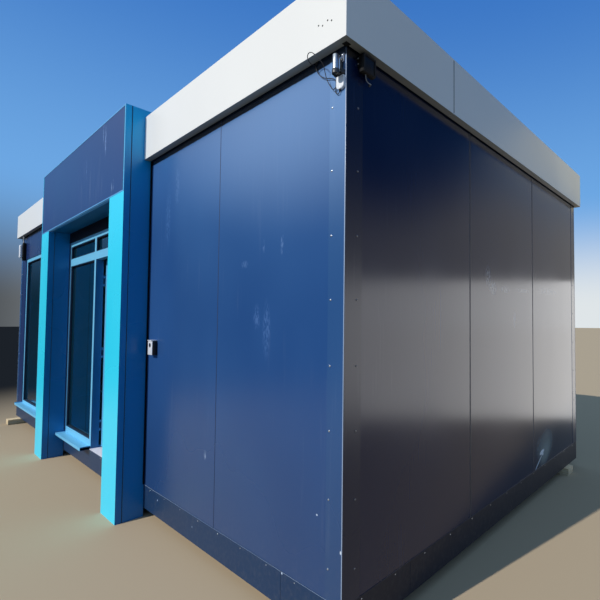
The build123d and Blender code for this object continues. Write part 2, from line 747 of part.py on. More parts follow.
# Out of the same slot, across to the junction box and in from below
supply_cable = cable(
    from_corner(
        [
            (-224, -5.5, 23),
            (-224, -5.5, -4),
            (-223, -7.5, -20),
            (-211, -9, -47),
            (-188, -10, -78),
            (-158, -10, -102),
            (-127, -10, -117),
            (-98, -10, -127),
            (-79, -9, -137),
            (-69, -8, -144),
            (-65, -7, -154),
            (-65.5, -7, -170),
            (-67, -7, -188),
            (-67, -7.5, -203),
            (-64, -8, -213),
            (-57.5, -8.5, -220.5),
            (-49, -9, -223.5),
            (-41, -9, -221),
            (-36, -9, -213.5),
            (-36, -9, -205),
        ]
    )
)
supply_cable.part.label = "supply_cable"

# Out of the floodlight and back into the end wall at a gland
lead_points = from_corner(
    [
        (32, 102, -105),
        (32, 102, -118),
        (31, 107, -128),
        (26, 121, -134),
        (22, 138, -131),
        (19, 153, -126),
        (14, 162, -123),
        (5, 162, -123),
    ]
)
floodlight_lead = cable(lead_points)
floodlight_lead.part.label = "floodlight_lead"

gland_face = lead_points[-1]
with BuildPart() as lead_gland:
    rod((RIGHT, gland_face.Y, gland_face.Z), (RIGHT + GLAND_LENGTH, gland_face.Y, gland_face.Z), GLAND_RADIUS)
lead_gland.part.label = "lead_gland"

# Lamp near the far left corner of the front wall: housing, tube and the conduit to the roof edge
lamp_x = LEFT + LAMP_FROM_CORNER
lamp_y = FRONT - LAMP_TUBE_OFFSET
housing_high = FASCIA_LOW - LAMP_HOUSING_DROP
tube_low = housing_high - (LAMP_HOUSING_HEIGHT + LAMP_LENGTH) / 2
with BuildPart() as corner_lamp:
    block(
        (lamp_x - LAMP_HOUSING_WIDTH / 2, lamp_x + LAMP_HOUSING_WIDTH / 2),
        (FRONT - LAMP_HOUSING_DEPTH, FRONT),
        (housing_high - LAMP_HOUSING_HEIGHT, housing_high),
    )
    rod((lamp_x, lamp_y, tube_low), (lamp_x, lamp_y, tube_low + LAMP_LENGTH), LAMP_RADIUS)
    rod(
        (lamp_x, FRONT - LAMP_CONDUIT_OFFSET, housing_high),
        (lamp_x, FRONT - LAMP_CONDUIT_OFFSET, FASCIA_LOW),
        LAMP_CONDUIT_RADIUS,
    )
corner_lamp.part.label = "corner_lamp"

# Access reader beside the portal, a box with a small hood over its face
reader_left = PORTAL_RIGHT + READER_FROM_PORTAL
reader_right = reader_left + READER_WIDTH
reader_low = BASE_LOW + READER_BOTTOM
with BuildPart() as access_reader:
    block(
        (reader_left, reader_right),
        (FRONT - READER_DEPTH, FRONT),
        (reader_low, reader_low + READER_HEIGHT),
    )
    fillet(access_reader.edges().filter_by(Axis.Y), READER_ROUND)
    block(
        (reader_left + READER_ROUND, reader_right - READER_ROUND),
        (FRONT - READER_DEPTH - READER_HOOD, FRONT),
        (reader_low + READER_HEIGHT, reader_low + READER_HEIGHT + READER_HOOD),
    )
access_reader.part.label = "access_reader"

PIECES = [
    timber_bearers,
    base_rails,
    floor_joists,
    floor_deck,
    front_wall_panel_1,
    front_wall_panel_2,
    front_wall_over_entrance,
    front_wall_panel_3,
    front_wall_under_window,
    front_wall_over_window,
    front_wall_panel_4,
    *right_wall_panels,
    left_wall_panels,
    rear_wall_panels,
    corner_trims,
    roof_deck,
    right_fascia,
    rear_fascia,
    left_fascia,
    front_fascia_left,
    front_fascia_right,
    portal_right_column,
    portal_left_column,
    portal_header,
    portal_soffit,
    portal_cap,
    entrance_frame,
    entrance_glass,
    entrance_sill,
    door_threshold,
    door_leaf,
    door_glass,
    door_handle,
    door_hinges,
    window_frame,
    window_glass,
    window_sill,
    security_camera,
    junction_box,
    floodlight,
    camera_cable,
    supply_cable,
    floodlight_lead,
    lead_gland,
    corner_lamp,
    access_reader,
]

os.makedirs("parts", exist_ok=True)
for piece in PIECES:
    export_step(piece.part, f"parts/{piece.part.label}.step")
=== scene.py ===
"""Portable site cabin: finishes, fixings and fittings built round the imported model."""

import logging
import math
from collections.abc import Sequence
from dataclasses import dataclass
from enum import Enum
from typing import Any

import bmesh
import bpy
from mathutils import Matrix, Quaternion, Vector


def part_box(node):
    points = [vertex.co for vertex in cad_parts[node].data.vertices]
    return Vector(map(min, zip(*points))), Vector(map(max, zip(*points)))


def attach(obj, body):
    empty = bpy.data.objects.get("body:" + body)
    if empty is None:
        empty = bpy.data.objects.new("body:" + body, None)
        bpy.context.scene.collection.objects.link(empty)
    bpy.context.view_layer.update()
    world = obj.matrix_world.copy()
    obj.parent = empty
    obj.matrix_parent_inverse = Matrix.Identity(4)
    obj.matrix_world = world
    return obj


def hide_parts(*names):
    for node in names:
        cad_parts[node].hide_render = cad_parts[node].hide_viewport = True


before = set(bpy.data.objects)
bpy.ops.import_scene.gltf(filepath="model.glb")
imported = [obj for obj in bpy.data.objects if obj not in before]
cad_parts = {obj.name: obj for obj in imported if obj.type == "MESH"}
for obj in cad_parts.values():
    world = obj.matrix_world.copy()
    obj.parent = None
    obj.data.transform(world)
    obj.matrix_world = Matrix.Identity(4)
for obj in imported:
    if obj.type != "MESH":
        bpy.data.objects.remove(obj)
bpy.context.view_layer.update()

log = logging.getLogger("cabin")

Pair = tuple[float, float]
Pairs = tuple[Pair, ...]
Point = tuple[float, float, float]
Corner = Sequence[float]
Seat = tuple[Corner, Corner]
Box = tuple[Vector, Vector]
Socket = bpy.types.NodeSocket
Tree = bpy.types.NodeTree
Object = bpy.types.Object

MILLIMETRE = 0.001
SHARP_ANGLE = math.radians(38)


# Colour and node helpers


def to_linear(colour: str) -> tuple[float, float, float, float]:
    """Turn an sRGB hex value into a linear colour.

    Args:
        colour: the value as #RRGGBB.

    Returns:
        Red, green, blue and alpha in linear light.
    """
    parts = [int(colour[place : place + 2], 16) / 255 for place in (1, 3, 5)]
    red, green, blue = (
        part / 12.92 if part <= 0.04045 else ((part + 0.055) / 1.055) ** 2.4 for part in parts
    )
    return red, green, blue, 1.0


class Graph:
    """A node tree that is being built."""

    def __init__(self, tree: Tree) -> None:
        """Start on a tree."""
        self.tree = tree

    def feed(self, socket: Socket, value: Any) -> None:
        """Link a socket to another one, or give it a plain value.

        Args:
            socket: the socket that is fed.
            value: another socket, a hex colour or any value that it takes.
        """
        if isinstance(value, Socket):
            self.tree.links.new(value, socket)
        else:
            is_colour = isinstance(value, str) and value.startswith("#")
            socket.default_value = to_linear(value) if is_colour else value

    def add(
        self,
        kind: str,
        inputs: dict[int | str, Any] | None = None,
        out: int | str | None = 0,
        **settings: Any,
    ) -> Any:
        """Add one node with its settings, its values and its links.

        Args:
            kind: the node's type name.
            inputs: values, hex colours or sockets to link, by input name or number.
            out: the output wanted, or None for the node itself.
            **settings: the node's own settings.

        Returns:
            The output socket, or the node.
        """
        made = self.tree.nodes.new(kind)
        for name, value in settings.items():
            setattr(made, name, value)
        for key, value in (inputs or {}).items():
            self.feed(made.inputs[key], value)
        return made if out is None else made.outputs[out]


class Mix(Graph):
    """A shader tree, and the colour that is mixed in it so far."""

    def __init__(self, tree: Tree, colour: str) -> None:
        """Start from one plain colour."""
        super().__init__(tree)
        self.colour: str | Socket = colour

    def ease(self, value: Socket, low: float, high: float) -> Socket:
        """Ease a value from 0 at one level to 1 at another."""
        return self.add("ShaderNodeMapRange", {0: value, 1: low, 2: high}, interpolation_type="SMOOTHSTEP")

    def along(self, place: Socket, way: Corner) -> Socket:
        """Measure how far a place lies along a direction."""
        return self.add("ShaderNodeVectorMath", {0: place, 1: way}, "Value", operation="DOT_PRODUCT")

    def sum_of(self, start: float, *layers: tuple[Socket, float]) -> Socket:
        """Add up layers, each times its own share.

        Args:
            start: the value before any layer.
            *layers: pairs of a socket and its share.

        Returns:
            The sum.
        """
        total: float | Socket = start
        for layer, share in layers:
            total = self.add("ShaderNodeMath", {0: layer, 1: share, 2: total}, operation="MULTIPLY_ADD")
        return total

    def tint(self, colour: str, share: float, *patterns: Socket) -> None:
        """Lay another colour over the present one.

        Args:
            colour: the colour laid on, as hex.
            share: how far it covers at most.
            *patterns: values from 0 to 1 that are multiplied together.
        """
        cover: float | Socket = share
        for pattern in patterns:
            cover = self.add("ShaderNodeMath", {0: pattern, 1: cover}, operation="MULTIPLY")
        self.colour = self.add("ShaderNodeMix", {0: cover, 6: self.colour, 7: colour}, 2, data_type="RGBA")

    def seen(self) -> Socket:
        """Tell the rays that show a picture from those of plain light.

        Returns:
            1 for a ray from the camera, a mirror or glass, and 0 for plain light.
        """
        path = self.add("ShaderNodeLightPath", out=None)
        seen: float | Socket = 0.0
        for name in ("Is Camera Ray", "Is Glossy Ray", "Is Transmission Ray"):
            seen = self.add("ShaderNodeMath", {0: path.outputs[name], 1: seen}, operation="MAXIMUM")
        return seen


@dataclass(frozen=True)
class Mark:
    """A scuff, a stain or a chip at one place on a wall."""

    centre: Point
    reach: Point
    colour: str
    share: float
    turn: float = 0.0
    grainy: bool = True


class Recipe(Mix):
    """A material that is being mixed, with patterns given in real sizes."""

    def __init__(self, name: str, colour: str) -> None:
        """Start a material.

        Args:
            name: the material's name.
            colour: the plain colour under its patterns, as hex.
        """
        self.material = bpy.data.materials.new(name)
        self.material.use_nodes = True
        super().__init__(self.material.node_tree, colour)
        self.shader = self.tree.nodes["Principled BSDF"]
        self.place = self.add("ShaderNodeTexCoord", out="Object")

    @property
    def height(self) -> Socket:
        """Give the height above the ground, in metres."""
        return self.add("ShaderNodeSeparateXYZ", {0: self.place}, 2)

    def facing(self, axis: int) -> Socket:
        """Give how far the surface looks along an axis, from -1 to 1."""
        normal = self.add("ShaderNodeNewGeometry", out="Normal")
        return self.add("ShaderNodeSeparateXYZ", {0: normal}, axis)

    def cloud(
        self, size_mm: Point, low: float, high: float, detail: float = 2.0, place: Socket | None = None
    ) -> Socket:
        """Make soft patches that run from none to full.

        Args:
            size_mm: the patches' size along each axis.
            low: the noise level where a patch starts.
            high: the noise level where it is full.
            detail: how much finer structure the patches have.
            place: the coordinates, if not the object's own.

        Returns:
            A value from 0 to 1.
        """
        scale = tuple(1 / (size * MILLIMETRE) for size in size_mm)
        spread = self.add("ShaderNodeMapping", {"Vector": place or self.place, "Scale": scale})
        noise = self.add("ShaderNodeTexNoise", {"Vector": spread, "Scale": 1.0, "Detail": detail})
        return self.ease(noise, low, high)

    def spot(self, mark: Mark) -> Socket:
        """Shape one mark as a soft oval.

        Args:
            mark: the mark, with its middle, its reach and its turn.

        Returns:
            A value that is full at the mark's middle and fades to nothing at its reach.
        """
        given = {"Vector": self.place, "Center": mark.centre, "Angle": math.radians(mark.turn)}
        tilted = self.add("ShaderNodeVectorRotate", given, rotation_type="X_AXIS")
        away = self.add("ShaderNodeVectorMath", {0: tilted, 1: mark.centre}, operation="SUBTRACT")
        share = self.add("ShaderNodeVectorMath", {0: away, 1: mark.reach}, operation="DIVIDE")
        length = self.add("ShaderNodeVectorMath", {0: share}, "Value", operation="LENGTH")
        return self.ease(length, 1.0, 0.25)

    def finish(
        self, roughness: float | Socket, relief: Sequence[tuple[Socket, float]] = (), **shader: float
    ) -> None:
        """Join the colour, roughness and relief to the shader.

        Args:
            roughness: one value, or a pattern.
            relief: pairs of a height pattern and its depth in millimetres.
            **shader: plain values for the shader's other sockets, with _ for a space.
        """
        values = {"Base Color": self.colour, "Roughness": roughness}
        values |= {key.replace("_", " "): value for key, value in shader.items()}
        if relief:
            height = self.sum_of(0.0, *((layer, depth * MILLIMETRE) for layer, depth in relief))
            bump = {"Height": height, "Distance": 1.0, "Strength": 1.0}
            values["Normal"] = self.add("ShaderNodeBump", bump)
        for key, value in values.items():
            self.feed(self.shader.inputs[key], value)


# Finishes


@dataclass(frozen=True)
class Finish:
    """What a surface is made of, and the record's slot that it belongs to."""

    name: str
    slot: str
    colour: str
    roughness: float = 0.4
    ior: float = 1.5

    def material(self) -> bpy.types.Material:
        """Give the Blender material, made on first use.

        Returns:
            The material.
        """
        if self.name not in bpy.data.materials:
            self.mix(Recipe(self.name, self.colour))
        return bpy.data.materials[self.name]

    def mix(self, recipe: Recipe) -> None:
        """Lay the patterns on the plain colour; each kind of finish has its own way."""
        raise NotImplementedError


@dataclass(frozen=True)
class CoatedSheet(Finish):
    """Coil-coated steel sheet: a satin polyester film on a flat sheet.

    The film gives soft, slightly wavy reflections, chalks a little in broad patches,
    and shows rain streaks, dust splashed up from the ground and darkening towards the bottom.
    Painted light is laid on it too: a painted sheen towards the top of the wall, painted shade
    on the faces turned away from the front with a painted highlight towards their top, a painted
    shadow just under the roof edge, partly dirt, and painted shade on the faces turned down.
    Each pair of levels gives the heights in metres, or the ways that the surface
    looks, between which something comes up from none to full.
    """

    faded: str = "#FFFFFF"
    fading: float = 0.45
    dust: float = 0.0
    film: float = 0.0
    streaks: float = 0.0
    grime: float = 0.0
    wave: float = 0.5
    underside: str | None = None
    shade: str | None = None
    shade_top: str | None = None
    bleach: float = 0.0
    marks: tuple[Mark, ...] = ()
    bleach_levels: Pair = (2.2, 2.9)
    shade_levels: Pair = (2.35, 3.35)
    film_levels: Pair = (1.5, 0.1)
    dust_levels: Pair = (0.6, 0.1)
    grime_levels: Pair = (2.888, 2.898)
    turned_away: Pair = (-0.9, -0.6)
    turned_down: Pair = (-0.3, -0.8)

    def mix(self, recipe: Recipe) -> None:
        """Lay fading, painted sheen, painted shade, rain streaks, dust, marks, painted shadow and the film's
        relief.

        Args:
            recipe: the material being mixed.
        """
        height = recipe.height
        broad = recipe.cloud((900, 900, 1400), 0.3, 0.7)
        recipe.tint(self.faded, self.fading, broad)
        # Painted sheen: lighter towards the top of the wall, where the sky's reflection shows
        recipe.tint("#5B8BC8", self.bleach, recipe.ease(height, *self.bleach_levels))
        # Painted shade: faces turned away from the front get the shade colour, and towards the top a lighter
        # painted highlight
        if self.shade:
            sides = recipe.ease(recipe.facing(1), *self.turned_away)
            recipe.tint(self.shade, 1.0, sides)
            if self.shade_top:
                recipe.tint(self.shade_top, 1.0, sides, recipe.ease(height, *self.shade_levels))
        streak = recipe.cloud((26, 26, 620), 0.56, 0.76, detail=3)
        patch = recipe.cloud((420, 420, 700), 0.45, 0.65)
        recipe.tint("#C9D2E2", self.streaks, streak, patch)
        low = recipe.ease(height, *self.film_levels)
        recipe.tint("#1E2A40", self.film, low)
        splash = recipe.cloud((24, 24, 30), 0.42, 0.8, detail=5)
        recipe.tint("#A39C92", self.dust, recipe.ease(height, *self.dust_levels), splash)
        grain = recipe.cloud((9, 9, 30), 0.42, 0.62, detail=5)
        for mark in self.marks:
            recipe.tint(mark.colour, mark.share, recipe.spot(mark), *([grain] if mark.grainy else []))
        # Painted shadow of the roof edge: a dark band just under it, partly dirt
        edge = recipe.sum_of(0.0, (recipe.cloud((60, 60, 80), 0.2, 0.8), 0.004), (height, 1.0))
        recipe.tint("#05080E", self.grime, recipe.ease(edge, *self.grime_levels))
        # Painted shade on the faces turned down
        if self.underside:
            recipe.tint(self.underside, 0.94, recipe.ease(recipe.facing(2), *self.turned_down))
        waves = recipe.cloud((520, 520, 900), 0.0, 1.0, detail=1)
        # The film's orange peel is about 1 mm across, and drawn at 3 mm so that it shows
        peel = recipe.cloud((3, 3, 3), 0.0, 1.0)
        rough = recipe.sum_of(self.roughness, (broad, 0.05), (low, 0.06))
        recipe.finish(rough, [(waves, self.wave), (peel, 0.006)], IOR=self.ior)


@dataclass(frozen=True)
class PowderCoat(Finish):
    """Powder-coated aluminium or steel: an even film with a very fine texture, which softens highlights."""

    wear: str = "#FFFFFF"
    grain_depth: float = 0.02
    shade: str | None = None

    def mix(self, recipe: Recipe) -> None:
        """Lay painted shade on the faces looking along +X, wear, dirty runs and the powder's texture.

        Args:
            recipe: the material being mixed.
        """
        # Painted shade: faces looking along +X get the shade colour
        if self.shade:
            recipe.tint(self.shade, 1.0, recipe.ease(recipe.facing(0), 0.6, 0.9))
        recipe.tint(self.wear, 0.10, recipe.cloud((300, 300, 500), 0.35, 0.7))
        recipe.tint("#6E6C68", 0.16, recipe.cloud((18, 18, 140), 0.6, 0.78, detail=4))
        # The powder's texture is about 0.3 mm, and drawn at 2 mm so that it shows
        texture = recipe.cloud((2, 2, 2), 0.2, 0.8)
        rough = recipe.sum_of(self.roughness, (texture, 0.08))
        recipe.finish(rough, [(texture, self.grain_depth)], IOR=self.ior)


@dataclass(frozen=True)
class Glazing(Finish):
    """Tinted double glazing: clear float glass with a teal body tint, and dust towards its lower edge."""

    dust_levels: Pair = (0.8, 0.3)

    def mix(self, recipe: Recipe) -> None:
        """Lay the dust on the glass.

        Args:
            recipe: the material being mixed.
        """
        film = recipe.cloud((70, 70, 400), 0.4, 0.75, detail=4)
        recipe.tint("#5D6B6C", 0.25, film, recipe.ease(recipe.height, *self.dust_levels))
        rough = recipe.sum_of(self.roughness, (film, 0.03))
        recipe.finish(rough, IOR=self.ior, Transmission_Weight=0.85, Specular_IOR_Level=0.25)


@dataclass(frozen=True)
class Metal(Finish):
    """Bare metal with a brushed or rolled surface, whose fine lines stretch the highlights."""

    brushed: Point = (1.2, 1.2, 60.0)

    def mix(self, recipe: Recipe) -> None:
        """Lay the brushed lines and the stains.

        Args:
            recipe: the material being mixed.
        """
        lines = recipe.cloud(self.brushed, 0.3, 0.7, detail=3)
        recipe.tint("#8C8F92", 0.35, lines)
        recipe.tint("#5E5A55", 0.3, recipe.cloud((40, 40, 40), 0.55, 0.8, detail=4))
        rough = recipe.sum_of(self.roughness, (lines, 0.14))
        recipe.finish(rough, [(lines, 0.02)], Metallic=1.0)


@dataclass(frozen=True)
class Moulded(Finish):
    """Moulded plastic or rubber: a fine spark texture, a little dust in it and slight fading."""

    dusty: str = "#8E8C88"

    def mix(self, recipe: Recipe) -> None:
        """Lay the dust and the spark texture.

        Args:
            recipe: the material being mixed.
        """
        recipe.tint(self.dusty, 0.22, recipe.cloud((35, 35, 80), 0.5, 0.75, detail=4))
        # The spark texture is about 0.2 mm, and drawn at 1 mm so that it shows
        spark = recipe.cloud((1, 1, 1), 0.2, 0.8)
        rough = recipe.sum_of(self.roughness, (spark, 0.08))
        recipe.finish(rough, [(spark, 0.01)], IOR=self.ior)


@dataclass(frozen=True)
class SawnTimber(Finish):
    """Rough-sawn softwood: growth bands along the piece, saw marks across it, grey weathering."""

    def mix(self, recipe: Recipe) -> None:
        """Lay the grain, which follows each piece's own lengthwise coordinate.

        Args:
            recipe: the material being mixed.
        """
        grain = recipe.add("ShaderNodeAttribute", out="Vector", attribute_name="grain")
        bands = recipe.cloud((420, 9, 14), 0.42, 0.62, detail=4, place=grain)
        recipe.tint("#B8935E", 0.6, bands)
        recipe.tint("#7A5F3E", 0.6, recipe.cloud((60, 16, 16), 0.66, 0.74, place=grain))
        recipe.tint("#A9A08E", 0.4, recipe.cloud((150, 50, 50), 0.45, 0.75, detail=4, place=grain))
        saw = recipe.cloud((5, 60, 60), 0.35, 0.65, place=grain)
        recipe.finish(0.82, [(bands, 0.5), (saw, 0.35)])


@dataclass(frozen=True)
class Membrane(Finish):
    """Weathered roof membrane: matt, with dried puddles and dirt caught along the laps."""

    def mix(self, recipe: Recipe) -> None:
        """Lay the puddles, the pale patches and the grit.

        Args:
            recipe: the material being mixed.
        """
        recipe.tint("#6F6C66", 0.5, recipe.cloud((700, 500, 500), 0.45, 0.6, detail=5))
        recipe.tint("#B9BAB6", 0.4, recipe.cloud((240, 240, 240), 0.55, 0.75, detail=4))
        grit = recipe.cloud((4, 4, 4), 0.3, 0.8, detail=3)
        recipe.finish(0.86, [(grit, 0.3), (recipe.cloud((300, 300, 300), 0.2, 0.8), 1.5)])


@dataclass(frozen=True)
class Board(Finish):
    """Lining board or sheet vinyl inside the cabin: even, matt, lightly scuffed."""

    fleck: str = "#8A8C8E"

    def mix(self, recipe: Recipe) -> None:
        """Lay the flecks, the scuffs and a faint emboss.

        Args:
            recipe: the material being mixed.
        """
        recipe.tint(self.fleck, 0.4, recipe.cloud((6, 6, 6), 0.55, 0.7, detail=3))
        recipe.tint("#6A6A6A", 0.15, recipe.cloud((500, 120, 500), 0.5, 0.8, detail=3))
        recipe.finish(self.roughness, [(recipe.cloud((4, 4, 4), 0.2, 0.8), 0.05)])


# Scuffs, chips, and a painted highlight of the sky's reflection over the upper corner of the front wall
WALL_MARKS = (
    Mark((3.16, -1.722, 1.55), (0.05, 0.08, 0.20), "#5F84BC", 0.45),
    Mark((3.06, -1.722, 1.62), (0.05, 0.08, 0.09), "#5F84BC", 0.45),
    Mark((3.30, -1.722, 2.02), (0.018, 0.08, 0.09), "#7D9CCB", 0.5),
    Mark((3.12, -1.722, 2.03), (0.012, 0.08, 0.05), "#7D9CCB", 0.5),
    Mark((2.92, -1.722, 1.94), (0.05, 0.08, 0.03), "#6C8EC0", 0.4),
    Mark((2.47, -1.722, 0.70), (0.02, 0.08, 0.04), "#9FB2CE", 0.6),
    Mark((1.80, -1.722, 2.42), (0.06, 0.08, 0.30), "#5C86BC", 0.35),
    Mark((1.95, -1.722, 2.62), (0.05, 0.08, 0.20), "#6A8FC2", 0.3),
    Mark((3.618, -1.722, 0.639), (0.007, 0.08, 0.006), "#C3D2E2", 2.0, grainy=False),
    Mark((3.792, -1.722, 0.515), (0.006, 0.012, 0.011), "#D6E0EA", 2.0, grainy=False),
    # Painted highlight: a broad pale patch over the upper corner of the front wall
    Mark((3.45, -1.727, 2.78), (1.7, 0.014, 0.85), "#8DB6E4", 0.36, grainy=False),
)
# Rain streaks and chips on the portal's header
HEADER_MARKS = (
    Mark((0.96, -1.922, 3.18), (0.030, 0.08, 0.17), "#8299C6", 0.85),
    Mark((0.90, -1.922, 3.27), (0.016, 0.08, 0.12), "#8CA4CE", 0.8),
    Mark((1.15, -1.922, 2.70), (0.014, 0.08, 0.08), "#A9BCDC", 0.8),
    Mark((1.19, -1.922, 2.74), (0.010, 0.08, 0.06), "#A9BCDC", 0.7),
    Mark((0.42, -1.922, 3.05), (0.020, 0.08, 0.14), "#6F88B8", 0.5),
)
# Chips on the skirt
SKIRT_MARKS = (
    Mark((3.34, -1.722, 0.253), (0.008, 0.08, 0.008), "#B6C6DA", 2.0, grainy=False),
    Mark((1.73, -1.722, 0.205), (0.007, 0.08, 0.009), "#9DB0CA", 2.0, grainy=False),
    Mark((2.31, -1.722, 0.180), (0.006, 0.08, 0.006), "#9DB0CA", 2.0, grainy=False),
)
# The scuff low on the far panel of the end wall with its haze and tail, smears and dark chips
END_MARKS = (
    Mark((3.80, 0.92, 0.43), (0.08, 0.26, 0.19), "#8FA09E", 0.50, turn=-20.0, grainy=False),
    Mark((3.80, 0.90, 0.36), (0.08, 0.20, 0.12), "#A9B4AE", 0.38, turn=-30.0, grainy=False),
    Mark((3.80, 0.76, 0.44), (0.08, 0.13, 0.14), "#71828A", 0.6),
    Mark((3.80, 0.82, 0.386), (0.06, 0.070, 0.024), "#FFFFFF", 2.0, turn=-10.0, grainy=False),
    Mark((3.80, 0.83, 0.372), (0.06, 0.04, 0.022), "#F4F6F7", 1.6, turn=25.0, grainy=False),
    Mark((3.80, 0.735, 0.310), (0.06, 0.135, 0.011), "#DDE2E5", 1.7, turn=-30.8, grainy=False),
    Mark((3.80, 0.22, 1.62), (0.06, 0.05, 0.10), "#6E7C92", 0.5),
    Mark((3.80, -0.25, 1.94), (0.06, 0.06, 0.10), "#98A0A8", 0.7),
    Mark((3.80, -0.17, 1.86), (0.06, 0.08, 0.07), "#98A0A8", 0.7),
    Mark((3.80, 0.04, 1.86), (0.06, 0.12, 0.035), "#8C949C", 0.6),
    Mark((3.80, 0.40, 1.87), (0.06, 0.20, 0.025), "#8C949C", 0.5),
    Mark((3.80, 1.00, 1.90), (0.06, 0.40, 0.05), "#8C949C", 0.5),
    Mark((3.80, 0.136, 1.218), (0.06, 0.022, 0.045), "#14181E", 0.9),
    Mark((3.80, 0.286, 1.264), (0.06, 0.014, 0.010), "#0A0C10", 2.5, grainy=False),
    Mark((3.80, 1.20, 0.12), (0.06, 0.05, 0.03), "#9AA5AE", 1.5),
)

# The coil-coated and laminated sheets
# The front wall's navy, with a painted sheen towards the top and a painted shadow under the roof edge
NAVY_PANEL = CoatedSheet(
    "sun_bleached_coil_coated_navy", "navy_panel", "#254C82", 0.20, faded="#335D92", dust=0.04,
    film=0.42, streaks=0.03, grime=0.9, bleach=0.28, wave=1.1, marks=WALL_MARKS,
)
# A darker copy of the front wall's navy for the end and rear walls: painted shade
SHADED_PANEL = CoatedSheet(
    "unbleached_coil_coated_navy", "navy_panel", "#081B40", 0.15, faded="#10264C", dust=0.02,
    film=0.20, streaks=0.02, grime=0.4, wave=1.1, marks=END_MARKS,
)
# A darker copy of the wall navy for the far left of the front wall: painted shade
FAR_SHADED_PANEL = CoatedSheet(
    "dull_coil_coated_navy", "navy_panel", "#1F3566", 0.26, 1.45, faded="#30426E", dust=0.04,
    film=0.30, streaks=0.03, grime=0.9, wave=1.1,
)
# A near-black copy of the wall navy for the wall inside the portal: painted shade
SHELTERED_PANEL = CoatedSheet(
    "dusty_sheltered_coated_navy", "navy_panel", "#04091A", 0.6, 1.25, faded="#060F24", wave=0.8,
)
# The trims' shade colour is painted shade on their legs turned away from the front
NAVY_TRIM = CoatedSheet(
    "coil_coated_navy_trim", "navy_trim", "#2B5284", 0.22, faded="#376090", fading=0.4, dust=0.04,
    film=0.42, streaks=0.03, grime=0.9, bleach=0.40, shade="#081B3C", marks=WALL_MARKS,
)
# A pale strip on the trims' bends: a painted highlight on the front, with painted shade on the faces turned
# away
TRIM_BEND = CoatedSheet(
    "worn_coated_trim_bend", "navy_trim", "#A3B4CB", 0.3, faded="#7F97B8", fading=0.6, wave=0.2,
    grime=0.6, shade="#0C2042",
)
# The skirt's shade colour is painted shade on its faces turned away from the front
BASE_COAT = CoatedSheet(
    "coil_coated_skirt", "steel_base", "#15375C", 0.32, 1.35, faded="#204468", fading=0.35, dust=0.06,
    film=0.28, streaks=0.02, wave=0.4, shade="#0A1526", marks=SKIRT_MARKS,
)
# A pale strip along the skirt plates' top edge: a painted highlight, with painted shade on the faces turned
# away from the front
EDGE_HIGHLIGHT = CoatedSheet(
    "worn_pale_sheet_edge", "steel_base", "#A9BAD2", 0.4, 1.4, faded="#5C779E", fading=0.9, wave=0.0,
    shade="#2C3340",
)
# The fascia's underside colour is painted shade on its faces turned down
WHITE_FASCIA = CoatedSheet(
    "coil_coated_white_fascia", "white_fascia", "#F5F3EB", 0.30, 1.45, faded="#E9E7E0", fading=0.3,
    underside="#98968A",
)
# The columns' shade colour is painted shade on their sides, turning to a lighter painted highlight towards the
# top
SKY_CLADDING = CoatedSheet(
    "gloss_cyan_composite_sheet", "sky_blue_cladding", "#34E2FF", 0.24, faded="#44E6FF", fading=0.5,
    dust=0.04, streaks=0.02, wave=0.3, shade="#0080C2", shade_top="#10B4F4",
)
NAVY_CLADDING = CoatedSheet(
    "satin_navy_composite_sheet", "navy_cladding", "#182E66", 0.28, faded="#213C78", fading=0.4,
    streaks=0.12, marks=HEADER_MARKS,
)
SOFFIT_CLADDING = CoatedSheet(
    "satin_teal_composite_soffit", "navy_cladding", "#036A9C", 0.45, 1.35, faded="#034E78", fading=0.5,
)

# The powder-coated metals
# The frame's shade colour is painted shade on its faces looking along +X
FRAME_BLUE = PowderCoat(
    "powder_coated_blue_aluminium", "blue_frame", "#74C4E8", 0.34, wear="#8FD0F0", shade="#2478B4"
)
# A darker copy of the frame blue for the door leaf: painted shade
DOOR_BLUE = PowderCoat("powder_coated_blue_door", "blue_frame", "#5FB4E0", 0.34, wear="#7CC6EC")
TRIM_BLUE = PowderCoat("powder_coated_edge_trim", "navy_cladding", "#63ACE0", 0.32, wear="#8CC8EE")
# The beads are dark as painted shade of the frames' reveals
BEAD = PowderCoat("dark_blue_glazing_bead", "blue_frame", "#0E2F4C", 0.4, wear="#1A4468")
THRESHOLD = PowderCoat("pale_coated_aluminium_strip", "pale_threshold", "#E9E9F0", 0.4, wear="#F4F4F8")
# The steel hinges carry a dark blue: painted shade
HINGE_SHADE = PowderCoat("dark_blue_coated_hinge", "handle_steel", "#0C3A60", 0.5, 1.4, wear="#1A4E78")
BRACKET_COAT = PowderCoat("grey_blue_coated_bracket", "camera_metal", "#4C5A70", 0.5, 1.4, wear="#76849A")
BEZEL = PowderCoat("dark_grey_camera_bezel", "camera_metal", "#24282D", 0.36, wear="#3A3F45")
BLACK_COAT = PowderCoat(
    "matt_black_powder_coat", "black_metal", "#08090A", 0.6, 1.3, wear="#16181B", grain_depth=0.05
)

# Glass and bare metals
GLASS = Glazing("tinted_double_glazing", "clear_glass", "#126488", 0.02, 1.45)
STEEL = Metal("brushed_stainless_steel", "handle_steel", "#BFC2C4", 0.3)
FIXING = Metal("zinc_plated_fixing", "navy_trim", "#D5D9DE", 0.32, brushed=(1.0, 1.0, 1.0))
DULL_FIXING = Metal("dull_stained_fixing", "navy_trim", "#6C717A", 0.45, brushed=(1.0, 1.0, 1.0))
CAMERA_METAL = Metal("satin_cast_aluminium", "camera_metal", "#B4BABF", 0.26, brushed=(3.0, 3.0, 3.0))

